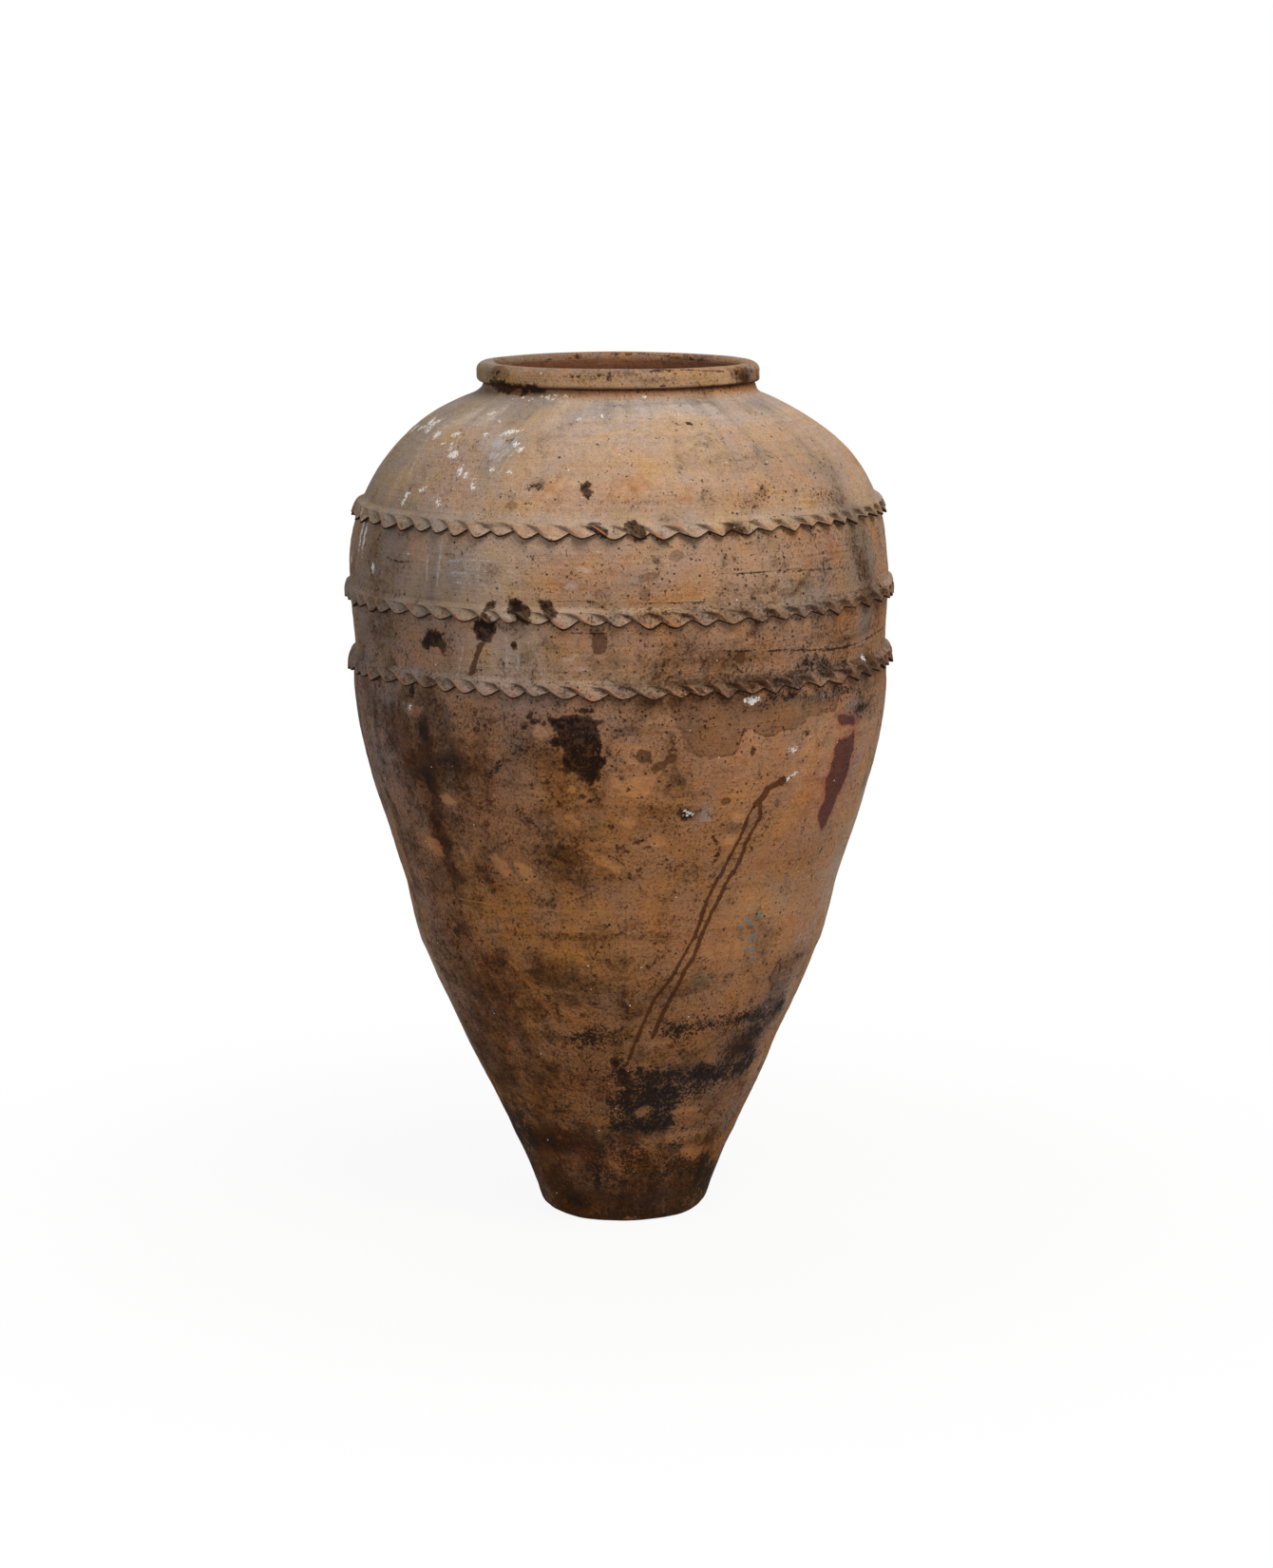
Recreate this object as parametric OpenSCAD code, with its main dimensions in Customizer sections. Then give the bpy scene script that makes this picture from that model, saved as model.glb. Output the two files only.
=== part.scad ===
// Handleless earthenware storage jar of amphora shape, built by a potter from a
// base slab, stacked wall lifts, a neck collar, a rolled rim and three applied
// clay ropes. Millimetres, +Z up, origin at the centre of the foot.

/* [Base and foot] */
// Radius of the flat face that the jar stands on
foot_r = 88; // [75:1:95]
// Thickness of the base slab
base_t = 28; // [22:1:40]
// How much wider the base slab is at its top than at the foot
slab_flare = 16; // [12:1:22]
// Height of the foot lift above the slab
foot_h = 57; // [40:1:90]
// How much wider the foot lift is at its top than the base slab
foot_flare = 23; // [15:1:35]

/* [Lower and middle wall] */
// Height of the lower lift
lower_h = 300; // [240:5:360]
// Outer radius at the top of the lower lift
lower_top_r = 251; // [220:1:275]
// Height of the middle lift
middle_h = 277; // [220:1:340]

/* [Belly and shoulder] */
// Outer radius of the belly at the middle rope
belly_r = 312; // [295:1:330]
// How much less the outer radius is at the lower rope
lower_rope_in = 4; // [0:1:12]
// How much less the outer radius is at the upper rope
upper_rope_in = 13; // [6:1:24]
// Height of the lower belly ring
lower_belly_h = 80; // [60:1:110]
// Height of the upper belly ring
upper_belly_h = 95; // [70:1:120]
// Height of the shoulder
shoulder_h = 125; // [100:1:150]

/* [Neck and rim] */
// Inner radius of the mouth
mouth_r = 140; // [125:1:150]
// Thickness of the neck collar under the rim
neck_t = 17; // [14:1:24]
// How much wider the neck collar is at its foot than under the rim
neck_cove = 12; // [6:1:20]
// Height of the neck collar
neck_h = 16; // [12:1:30]
// How far the rim overhangs the neck collar
rim_over = 6; // [4:1:16]
// Height of the rim
rim_h = 22; // [18:1:34]
// Rounding of the rim's lower outer edge
rim_low_round = 4; // [2:0.5:5]
// Rounding of the rim's upper outer edge
rim_outer_round = 9; // [5:0.5:10]
// Rounding of the rim's upper inner edge
rim_inner_round = 7; // [4:0.5:10]

/* [Clay wall and seams] */
// Thickness of the clay wall
wall_t = 20; // [17:1:25]
// Height of the tongue along each luted seam
tongue_h = 7; // [4:0.5:10]
// Width of the tongue at its root
tongue_w = 8; // [5:0.5:9]

/* [Lean of the wall, outward from upright] */
// At the worn edge of the foot
edge_lean = 70; // [55:1:80]
// At the top of the base slab
slab_lean = 22; // [18:1:26]
// Between the foot lift and the lower lift
foot_lean = 24; // [18:1:30]
// Between the lower lift and the middle lift
lower_lean = 14; // [8:1:20]
// Between the middle lift and the lower belly ring
middle_lean = -4; // [-8:1:2]
// Between the two belly rings
belly_lean = 1; // [-4:1:5]
// Between the upper belly ring and the shoulder
crown_lean = -19; // [-26:1:-14]
// Between the shoulder and the neck collar
shoulder_lean = -68; // [-72:1:-60]
// Under the rim
neck_lean = 8; // [0:1:12]

/* [Ropes] */
// Number of thumb pinches round each rope
rope_lobes = 64; // [48:4:72]
// Height of the rope's root on the wall
rope_h = 17; // [13:0.5:24]
// How far the crest stands out of the wall
rope_out = 8; // [5:0.5:12]
// How far each pinched tip hangs below the root
rope_tip = 5; // [2:0.5:8]
// How far each ridge slants along the rope, in pinches
rope_slant = 1; // [0.2:0.1:1.2]
// Depth of the scored bed that the rope is pressed into
bed_d = 2; // [1:0.5:3]

/* [Hidden] */
$fn = 128;

CLAY = [0.66, 0.47, 0.33];
PALE_CLAY = [0.70, 0.56, 0.43];
DARK_CLAY = [0.36, 0.25, 0.17];

// Length of a curve's handles, as a share of the chord between its ends
curve_handle = 0.36;
// Straight pieces in the outline of one lift
curve_steps = 12;
// Straight pieces in a rounded edge
round_steps = 8;
// Halvings in the search for a height along a curve
search_steps = 24;

// A line is the outline of one lift: [foot point, foot lean, head point, head lean],
// with points as [radius, height].
slab_line = [[foot_r, 0], edge_lean, [foot_r + slab_flare, base_t], slab_lean];
foot_line = [slab_line[2], slab_lean, slab_line[2] + [foot_flare, foot_h], foot_lean];
lower_line = [foot_line[2], foot_lean, [lower_top_r, foot_line[2].y + lower_h], lower_lean];
middle_line =
    [lower_line[2], lower_lean, [belly_r - lower_rope_in, lower_line[2].y + middle_h], middle_lean];
lower_belly_line =
    [middle_line[2], middle_lean, [belly_r, middle_line[2].y + lower_belly_h], belly_lean];
upper_belly_line =
    [lower_belly_line[2], belly_lean,
     [belly_r - upper_rope_in, lower_belly_line[2].y + upper_belly_h], crown_lean];
neck_r = mouth_r + neck_t;
rim_r = neck_r + rim_over;
shoulder_line =
    [upper_belly_line[2], crown_lean, [neck_r + neck_cove, upper_belly_line[2].y + shoulder_h], shoulder_lean];
neck_line = [shoulder_line[2], shoulder_lean, [neck_r, shoulder_line[2].y + neck_h], neck_lean];
rim_z = neck_line[2].y;
jar_h = rim_z + rim_h;

// A point of a line at t, from 0 at its foot to 1 at its head.
function line_point(line, t) =
    let (
        reach = curve_handle * norm(line[2] - line[0]),
        low = line[0] + reach * [sin(line[1]), cos(line[1])],
        high = line[2] - reach * [sin(line[3]), cos(line[3])],
        s = 1 - t
    )
    s * s * s * line[0] + 3 * s * s * t * low + 3 * s * t * t * high + t * t * t * line[2];

// The share t of a line that lies at height z.
function line_share(line, z, low = 0, high = 1, left = search_steps) =
    let (middle = (low + high) / 2)
    left == 0 ? middle
    : line_point(line, middle).y < z ? line_share(line, z, middle, high, left - 1)
    : line_share(line, z, low, middle, left - 1);

// Points along a line from share a to share b.
function line_points(line, a = 0, b = 1) =
    [for (i = [0:curve_steps]) line_point(line, a + (b - a) * i / curve_steps)];

// The inner face of a lift: the same line, one wall thickness further in.
function inner_line(line) =
    [[line[0].x - wall_t / cos(line[1]), line[0].y], line[1],
     [line[2].x - wall_t / cos(line[3]), line[2].y], line[3]];

// The shoulder's inner face ends at the mouth, below the neck seam.
shoulder_inner =
    let (
        head = shoulder_line[2],
        inside = inner_line(shoulder_line),
        further = (mouth_r - head.x + wall_t * cos(shoulder_lean)) / sin(shoulder_lean)
    )
    [inside[0], crown_lean,
     [mouth_r, head.y + wall_t * sin(shoulder_lean) + further * cos(shoulder_lean)], shoulder_lean];

// A luted seam at height z, from its outer edge to its inner edge, over the tongue.
function seam(outer_r, inner_r, z) =
    let (middle = (outer_r + inner_r) / 2)
    [[outer_r, z],
     [middle + tongue_w / 2, z], [middle + tongue_w / 4, z + tongue_h],
     [middle - tongue_w / 4, z + tongue_h], [middle - tongue_w / 2, z],
     [inner_r, z]];

function backwards(points) = [for (i = [len(points) - 1:-1:0]) points[i]];

// Where a rope crosses the seam between two lifts: the wall's points at the bed's lower and upper edge.
function rope_seat(below, above) =
    let (low = below[2].y - rope_h / 2, high = below[2].y + rope_h / 2)
    [line_point(below, line_share(below, low)), line_point(above, line_share(above, high))];
function bed_low(seat) = seat[0] - [bed_d, 0];
function bed_high(seat) = seat[1] - [bed_d, 0];
function bed_middle(seat) = (bed_low(seat) + bed_high(seat)) / 2;

lower_seat = rope_seat(middle_line, lower_belly_line);
middle_seat = rope_seat(lower_belly_line, upper_belly_line);
upper_seat = rope_seat(upper_belly_line, shoulder_line);

// The outer face of a lift, with half a rope bed at its foot or head where it has one.
function outer_face(line, foot_seat, head_seat) =
    let (
        a = foot_seat == undef ? 0 : line_share(line, foot_seat[1].y),
        b = head_seat == undef ? 1 : line_share(line, head_seat[0].y)
    )
    concat(
        foot_seat == undef ? [] : [bed_middle(foot_seat), bed_high(foot_seat)],
        line_points(line, a, b),
        head_seat == undef ? [] : [bed_low(head_seat), bed_middle(head_seat)]
    );

// One closed ring of wall between two seams.
module wall_ring(outer, inner) {
    foot_seam = seam(outer[0].x, inner[0].x, outer[0].y);
    head_seam = seam(outer[len(outer) - 1].x, inner[len(inner) - 1].x, outer[len(outer) - 1].y);
    rotate_extrude() polygon(concat(outer, head_seam, backwards(inner), backwards(foot_seam)));
}

function arc(centre, r, from, to) =
    [for (i = [0:round_steps])
        let (a = from + (to - from) * i / round_steps) centre + r * [cos(a), sin(a)]];

// The slab that the jar stands on, with a tongue that the foot lift is luted over.
module base_slab() {
    head = slab_line[2];
    color(DARK_CLAY) rotate_extrude()
        polygon(concat([[0, 0]], line_points(slab_line), seam(head.x, inner_line(slab_line)[2].x, base_t),
                       [[0, base_t]]));
}

module foot_lift() {
    color(DARK_CLAY) wall_ring(outer_face(foot_line), line_points(inner_line(foot_line)));
}

module lower_lift() {
    color(CLAY) wall_ring(outer_face(lower_line), line_points(inner_line(lower_line)));
}

module middle_lift() {
    color(CLAY) wall_ring(outer_face(middle_line, undef, lower_seat), line_points(inner_line(middle_line)));
}

module lower_belly_ring() {
    color(CLAY)
        wall_ring(outer_face(lower_belly_line, lower_seat, middle_seat),
                  line_points(inner_line(lower_belly_line)));
}

module upper_belly_ring() {
    color(CLAY)
        wall_ring(outer_face(upper_belly_line, middle_seat, upper_seat),
                  line_points(inner_line(upper_belly_line)));
}

module shoulder() {
    head = shoulder_line[2];
    color(PALE_CLAY)
        wall_ring(outer_face(shoulder_line, upper_seat),
                  concat(line_points(shoulder_inner), [[mouth_r, head.y]]));
}

module neck_collar() {
    color(PALE_CLAY)
        wall_ring(outer_face(neck_line), [[mouth_r, neck_line[0].y], [mouth_r, rim_z]]);
}

// The rolled rim, which overhangs the collar.
module rim() {
    color(PALE_CLAY) rotate_extrude()
        polygon(concat(
            arc([rim_r - rim_low_round, rim_z + rim_low_round], rim_low_round, -90, 0),
            arc([rim_r - rim_outer_round, jar_h - rim_outer_round], rim_outer_round, 0, 90),
            arc([mouth_r + rim_inner_round, jar_h - rim_inner_round], rim_inner_round, 90, 180),
            backwards(seam(neck_r, mouth_r, rim_z))
        ));
}

// Sections of the rope in one thumb pinch
rope_sections = 5;
rope_rings = rope_lobes * rope_sections;
// Reaches the true wall with the middle of each flat facet
facet_reach = 1 / cos(180 / rope_rings);

// Levels down the rope from its upper edge, as shares of rope_h
cove_down = 0.25;
crest_down = 0.5;
lip_down = 0.8;
// How far out each level stands in the hollow and on the ridge, as shares of rope_out
cove_out = 0.5;
crest_out = [0.6, 1];
lip_out = [0.5, 0.95];
tip_out = [0.35, 0.65];
// How far the ridge has slanted at the crest and the lip, as shares of rope_slant
crest_turn = 0.6;
lip_turn = 0.8;
// The lip takes this share of the tip's hang
lip_hang = 0.6;
// Where the notch between two tips is, as a share of a pinch
notch = 0.6;
// Keeps a place right on a ridge on its own side of it
hair = 0.000001;

// How far along its pinch a place is, from 0 at the ridge that the thumb left.
function along(pinch) = pinch + hair - floor(pinch + hair);
// 1 at the ridge, falling to 0 in the hollow under the next one.
function ridge(pinch) = 1 - along(pinch);
// 1 at the hanging tip, 0 at the notch.
function tip(pinch) =
    let (a = along(pinch))
    a < notch ? 1 - a / notch : (a - notch) / (1 - notch);
function between(pair, share) = pair[0] + (pair[1] - pair[0]) * share;

// Section of a rope, as [radius, height] points from the bed's lower edge up and round the outside.
function rope_section(seat, pinch) =
    let (
        low = seat[0],
        high = seat[1],
        radii = [high.x, low.x],
        crest = ridge(pinch - crest_turn * rope_slant),
        lip = ridge(pinch - lip_turn * rope_slant),
        end = ridge(pinch - rope_slant),
        hang = rope_tip * tip(pinch - rope_slant)
    )
    [[bed_low(seat).x * facet_reach, low.y],
     [bed_high(seat).x * facet_reach, high.y],
     high,
     [between(radii, cove_down) + rope_out * cove_out, high.y - rope_h * cove_down],
     [between(radii, crest_down) + rope_out * between(crest_out, crest), high.y - rope_h * crest_down],
     [low.x + rope_out * between(lip_out, lip), high.y - rope_h * lip_down - hang * lip_hang],
     [low.x + rope_out * between(tip_out, end), low.y - hang],
     low];

module rope(seat) {
    count = len(rope_section(seat, 0));
    points = [for (ring = [0:rope_rings - 1])
        let (turn = 360 * ring / rope_rings)
        for (p = rope_section(seat, ring / rope_sections)) [p.x * cos(turn), p.x * sin(turn), p.y]];
    faces = [for (ring = [0:rope_rings - 1], side = [0:count - 1])
        let (
            here = ring * count,
            next = ((ring + 1) % rope_rings) * count,
            after = (side + 1) % count
        )
        each [[here + side, next + side, next + after], [here + side, next + after, here + after]]];
    polyhedron(points, faces);
}

module lower_rope() {
    color(CLAY) rope(lower_seat);
}

module middle_rope() {
    color(CLAY) rope(middle_seat);
}

module upper_rope() {
    color(PALE_CLAY) rope(upper_seat);
}

base_slab();
foot_lift();
lower_lift();
middle_lift();
lower_belly_ring();
upper_belly_ring();
shoulder();
neck_collar();
rim();
lower_rope();
middle_rope();
upper_rope();
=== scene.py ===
# %% [markdown]
# # A handleless storage jar of amphora shape
# The jar is earthenware, about a metre tall. A potter built it from a base slab, stacked lifts of wall, a
# neck collar and a rolled rim, and pressed three ropes of clay over the belly's seams. The CAD model is the
# frame: every piece below is made in metres, in the same place, and stands for the CAD node of the same name.

# %% Load the frame
import math

import bmesh
import bpy
import numpy as np
from mathutils import Matrix, Vector


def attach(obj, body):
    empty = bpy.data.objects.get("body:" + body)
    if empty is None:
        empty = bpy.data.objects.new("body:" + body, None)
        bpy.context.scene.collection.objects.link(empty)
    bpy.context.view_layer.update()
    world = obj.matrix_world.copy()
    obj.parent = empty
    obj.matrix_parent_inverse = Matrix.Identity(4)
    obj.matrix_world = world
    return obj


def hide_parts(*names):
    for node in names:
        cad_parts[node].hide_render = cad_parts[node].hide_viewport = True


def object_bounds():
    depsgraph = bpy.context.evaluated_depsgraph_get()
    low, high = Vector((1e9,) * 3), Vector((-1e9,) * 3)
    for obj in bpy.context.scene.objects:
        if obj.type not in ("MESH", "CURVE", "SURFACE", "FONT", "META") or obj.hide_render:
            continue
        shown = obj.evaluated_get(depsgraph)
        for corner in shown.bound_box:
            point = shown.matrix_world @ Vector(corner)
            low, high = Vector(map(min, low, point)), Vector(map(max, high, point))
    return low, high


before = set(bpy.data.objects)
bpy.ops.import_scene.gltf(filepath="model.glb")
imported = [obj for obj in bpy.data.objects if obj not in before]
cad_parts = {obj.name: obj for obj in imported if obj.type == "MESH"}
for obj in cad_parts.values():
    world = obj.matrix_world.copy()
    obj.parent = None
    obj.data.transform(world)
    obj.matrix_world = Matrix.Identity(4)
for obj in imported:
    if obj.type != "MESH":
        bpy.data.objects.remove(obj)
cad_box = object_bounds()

MM = 0.001
print("CAD nodes:", sorted(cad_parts))

# %% [markdown]
# ## The camera
# The view is from a little above, through a long lens. The jar's outline in the photograph fixes the tilt,
# the distance and the slight roll. The camera comes first, because marks on the clay are placed by looking
# through it.

# %% Set the camera
PHOTO_W, PHOTO_H = 1340, 1650
LENS_PX = 4022.0
VIEW_TILT = math.radians(10.126)
VIEW_ROLL = math.radians(-0.364)
EYE = Vector((0.0177, -4.412, 1.2926))

camera_data = bpy.data.cameras.new("camera")
camera_data.sensor_width = 36.0
camera_data.lens = LENS_PX / PHOTO_H * camera_data.sensor_width
camera = bpy.data.objects.new("camera", camera_data)
bpy.context.scene.collection.objects.link(camera)
turn = Matrix.Rotation(math.pi / 2 - VIEW_TILT, 4, "X") @ Matrix.Rotation(VIEW_ROLL, 4, "Z")
camera.matrix_world = Matrix.Translation(EYE) @ turn
bpy.context.scene.camera = camera
print(f"lens {camera_data.lens:.1f} mm")

# %% [markdown]
# ## The outline of the wall
# A thrown wall is one smooth line from foot to neck. Each row gives the height and radius of a seam in
# millimetres, and how far the wall leans outward there. A curve joins each pair of rows, as in the CAD
# source, so the lifts of clay meet without a step. The widest place is printed beside the CAD box.

# %% Draw the outline
WALL_T = 20.0
MOUTH_R = 140.0
CURVE_REACH, CURVE_EXTRA = 0.36, 1.03
WALL_STEP, INSIDE_STEP, THROAT_STEP = 2.65, 13.0, 7.0
FINER_STEP = {"neck_collar": 1.3, "base_slab": 1.8, "foot_lift": 2.2}
SEAMS = [
    # piece that starts here, height, radius, lean from upright in degrees
    ("base_slab", 0.0, 88.0, 70.0),
    ("foot_lift", 28.0, 104.0, 22.0),
    ("lower_lift", 85.0, 127.0, 24.0),
    ("middle_lift", 385.0, 251.0, 14.0),
    ("lower_belly_ring", 662.0, 308.0, -4.0),
    ("upper_belly_ring", 742.0, 312.0, 1.0),
    ("shoulder", 837.0, 299.0, -19.0),
    ("neck_collar", 962.0, 169.0, -68.0),
    ("rim", 978.0, 157.0, 8.0),
]
SEAM_Z, SEAM_R, SEAM_LEAN = [{row[0]: row[k] for row in SEAMS} for k in (1, 2, 3)]


def wall_line(foot, foot_lean, head, head_lean, step):
    """Points along one lift's curve, as [radius, height], about one step apart."""
    foot, head = np.array(foot), np.array(head)
    length = np.linalg.norm(head - foot)
    a, b = math.radians(foot_lean), math.radians(head_lean)
    low = foot + CURVE_REACH * length * np.array([math.sin(a), math.cos(a)])
    high = head - CURVE_REACH * length * np.array([math.sin(b), math.cos(b)])
    count = max(4, round(length * CURVE_EXTRA / step))
    t = np.linspace(0, 1, count + 1)[:, None]
    s = 1 - t
    return s**3 * foot + 3 * s * s * t * low + 3 * s * t * t * high + t**3 * head


outer, inner = {}, {}
for (name, low_z, low_r, low_lean), (above, high_z, high_r, high_lean) in zip(SEAMS, SEAMS[1:]):
    step = FINER_STEP.get(name, WALL_STEP)
    outer[name] = wall_line((low_r, low_z), low_lean, (high_r, high_z), high_lean, step)
    low_in = low_r - WALL_T / math.cos(math.radians(low_lean))
    high_in = high_r - WALL_T / math.cos(math.radians(high_lean))
    inner[name] = wall_line((low_in, low_z), low_lean, (high_in, high_z), high_lean, INSIDE_STEP)

NECK_Z, RIM_Z = SEAM_Z["neck_collar"], SEAM_Z["rim"]
THROAT, THROAT_LEAN = (MOUTH_R, 950.5), -62.0
under_throat = wall_line(inner["shoulder"][0], SEAM_LEAN["shoulder"], THROAT, THROAT_LEAN, THROAT_STEP)
inner["shoulder"] = np.vstack([under_throat, [[MOUTH_R, NECK_Z]]])
inner["neck_collar"] = np.array([[MOUTH_R, z] for z in np.linspace(NECK_Z, RIM_Z, 5)])
inner["base_slab"] = np.array([[0.0, 0.0], [0.0, SEAM_Z["foot_lift"]]])


def arc(centre, radius, start, end, steps):
    """A rounded edge of the rim."""
    a = np.radians(np.linspace(start, end, steps))
    return np.column_stack([centre[0] + radius * np.cos(a), centre[1] + radius * np.sin(a)])


RIM_R, RIM_TOP = 163.0, 1000.0
UNDER_EDGE, ROLL, LIP = 4.0, 9.0, 7.0
LIP_POINTS, BORE_POINTS = 10, 7
rim_section = np.vstack([
    [[SEAM_R["rim"], RIM_Z]],
    arc((RIM_R - UNDER_EDGE, RIM_Z + UNDER_EDGE), UNDER_EDGE, -90, 0, 7),
    [[RIM_R, z] for z in np.linspace(RIM_Z + UNDER_EDGE + 1, RIM_TOP - ROLL - 1, 6)],
    arc((RIM_R - ROLL, RIM_TOP - ROLL), ROLL, 0, 90, 12),
    arc((MOUTH_R + LIP, RIM_TOP - LIP), LIP, 90, 180, LIP_POINTS),
    [[MOUTH_R, z] for z in np.linspace(RIM_TOP - LIP - 2, RIM_Z, BORE_POINTS)],
])
outline = np.vstack([*outer.values(), rim_section[:1 - LIP_POINTS - BORE_POINTS]])


def wall_radius(z):
    """The wall's outer radius at a height, both in millimetres."""
    return np.interp(z, outline[:, 1], outline[:, 0])


outline_run = np.concatenate([[0], np.cumsum(np.hypot(*np.diff(outline, axis=0).T))])


def wall_run(z):
    """The length along the wall's line from the foot up to a height, in millimetres."""
    return np.interp(z, outline[:, 1], outline_run)


print(f"widest wall {outline[:, 0].max():.1f} mm, CAD box half {cad_box[1].x / MM:.1f} mm with its ropes")

# %% [markdown]
# ## Finding a place on the wall
# A stain is easiest to place by looking: a ray from the camera through a pixel of the photograph meets the
# wall at an azimuth and a height. Azimuth 0 faces the camera and grows to the right. Everything is kept as
# azimuth and height on the clay itself, so the marks stay on the jar from every side.


# %% Look through the camera
NEAREST, FARTHEST, RAY_POINTS = 3.9, 4.9, 5001


def wall_at(px, py):
    """Azimuth in radians and height in millimetres where a pixel's ray meets the wall."""
    ray = Vector(((px - PHOTO_W / 2) / LENS_PX, (PHOTO_H / 2 - py) / LENS_PX, -1.0))
    ray = camera.matrix_world.to_3x3() @ ray
    t = np.linspace(NEAREST, FARTHEST, RAY_POINTS)[:, None]
    points = (np.array(EYE) + t * np.array(ray)) / MM
    gap = np.hypot(points[:, 0], points[:, 1]) - wall_radius(points[:, 2])
    hit = np.argmax(gap < 0) if (gap < 0).any() else np.argmin(gap)
    x, y, z = points[hit]
    return math.atan2(x, -y), float(z)


front = wall_at(654, 700)
print(f"the middle of the belly is at {math.degrees(front[0]):.1f} degrees and {front[1]:.0f} mm")

# %% [markdown]
# ## One helper for node trees
# Geometry and shading trees are both nodes with settings and links. This one small function adds a node,
# gives it its settings, and then links or sets its inputs, so that a tree reads from top to bottom like a
# recipe.


# %% Add a node
def add(tree, kind, inputs=None, **settings):
    """A new node, with its settings, and each input linked to a socket or set to a value."""
    node = tree.nodes.new(kind)
    for name, value in settings.items():
        setattr(node, name, value)
    for socket, value in (inputs or {}).items():
        if isinstance(value, bpy.types.NodeSocket):
            tree.links.new(value, node.inputs[socket])
        else:
            node.inputs[socket].default_value = value
    return node


def linear(hex_colour):
    """An sRGB hex colour as the linear numbers that shaders take."""
    parts = [int(hex_colour[i:i + 2], 16) / 255 for i in (1, 3, 5)]
    bent = [c / 12.92 if c <= 0.04045 else ((c + 0.055) / 1.055) ** 2.4 for c in parts]
    return (*bent, 1.0)


print("brick red in linear light:", [round(c, 3) for c in linear("#9C5A3C")])

# %% [markdown]
# ## The potter's wheel as a node tree
# Every lift is a section turned round the axis, which is what a wheel does. Spinning a mesh in code would
# also work, but a Geometry Nodes tree keeps the wheel as a tool with named inputs: a grid is rolled up, each
# row takes its radius and height from a section's points, and noise adds the throwing rings and lumps that
# fingers leave. The grid's two seams and the pole of the base are closed by merging points.

# %% Build the wheel
TOUCHING = 0.00002
RINGS_ROUND = 2.2
wheel = bpy.data.node_groups.new("potters_wheel", "GeometryNodeTree")
for name, kind in [("Section", "Object"), ("Columns", "Int"), ("Ring depth", "Float"),
                   ("Ring spacing", "Float"), ("Lump depth", "Float"), ("Lump size", "Float"),
                   ("Clay", "Material")]:
    wheel.interface.new_socket(name, in_out="INPUT", socket_type="NodeSocket" + kind)
wheel.interface.new_socket("Lift", in_out="OUTPUT", socket_type="NodeSocketGeometry")

given = add(wheel, "NodeGroupInput").outputs
section = add(wheel, "GeometryNodeObjectInfo", {"Object": given["Section"]}).outputs["Geometry"]
rows = add(wheel, "GeometryNodeAttributeDomainSize", {"Geometry": section}).outputs["Point Count"]
more_columns = add(wheel, "ShaderNodeMath", {0: given["Columns"], 1: 1.0}, operation="ADD").outputs[0]
more_rows = add(wheel, "ShaderNodeMath", {0: rows, 1: 1.0}, operation="ADD").outputs[0]
grid = add(wheel, "GeometryNodeMeshGrid", {
    "Size X": 1.0, "Size Y": 1.0, "Vertices X": more_columns, "Vertices Y": more_rows}).outputs["Mesh"]
here = add(wheel, "GeometryNodeInputPosition").outputs[0]
flat = add(wheel, "ShaderNodeSeparateXYZ", {0: here}).outputs
share = add(wheel, "ShaderNodeMath", {0: flat["Y"], 1: 0.5}, operation="ADD").outputs[0]
row = add(wheel, "ShaderNodeMath", {0: share, 1: rows}, operation="MULTIPLY").outputs[0]
row = add(wheel, "ShaderNodeMath", {0: row}, operation="ROUND").outputs[0]
row = add(wheel, "ShaderNodeMath", {0: row, 1: rows}, operation="MODULO").outputs[0]
spot = add(wheel, "GeometryNodeSampleIndex", {"Geometry": section, "Value": here, "Index": row},
           data_type="FLOAT_VECTOR").outputs[0]
skin_name = add(wheel, "GeometryNodeInputNamedAttribute", {"Name": "skin"}, data_type="FLOAT").outputs[0]
skin = add(wheel, "GeometryNodeSampleIndex", {"Geometry": section, "Value": skin_name, "Index": row},
           data_type="FLOAT").outputs[0]
angle = add(wheel, "ShaderNodeMath", {0: flat["X"], 1: 2 * math.pi}, operation="MULTIPLY").outputs[0]
turned = add(wheel, "ShaderNodeVectorRotate", {"Vector": spot, "Angle": angle},
             rotation_type="Z_AXIS").outputs[0]

pitch = add(wheel, "ShaderNodeMath", {0: 1.0, 1: given["Ring spacing"]}, operation="DIVIDE").outputs[0]
stretch = add(wheel, "ShaderNodeCombineXYZ", {"X": RINGS_ROUND, "Y": RINGS_ROUND, "Z": pitch}).outputs[0]
ring_place = add(wheel, "ShaderNodeVectorMath", {0: turned, 1: stretch}, operation="MULTIPLY").outputs[0]
rings = add(wheel, "ShaderNodeTexNoise", {"Vector": ring_place, "Scale": 1.0, "Detail": 2.0}).outputs[0]
rings = add(wheel, "ShaderNodeMath", {0: rings, 1: 0.5}, operation="SUBTRACT").outputs[0]
rings = add(wheel, "ShaderNodeMath", {0: rings, 1: given["Ring depth"]}, operation="MULTIPLY").outputs[0]
lump_scale = add(wheel, "ShaderNodeMath", {0: 1.0, 1: given["Lump size"]}, operation="DIVIDE").outputs[0]
lumps = add(wheel, "ShaderNodeTexNoise", {"Vector": turned, "Scale": lump_scale, "Detail": 3.0}).outputs[0]
lumps = add(wheel, "ShaderNodeMath", {0: lumps, 1: 0.5}, operation="SUBTRACT").outputs[0]
lumps = add(wheel, "ShaderNodeMath", {0: lumps, 1: given["Lump depth"]}, operation="MULTIPLY").outputs[0]
push = add(wheel, "ShaderNodeMath", {0: rings, 1: lumps}, operation="ADD").outputs[0]
push = add(wheel, "ShaderNodeMath", {0: push, 1: skin}, operation="MULTIPLY").outputs[0]
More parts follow.
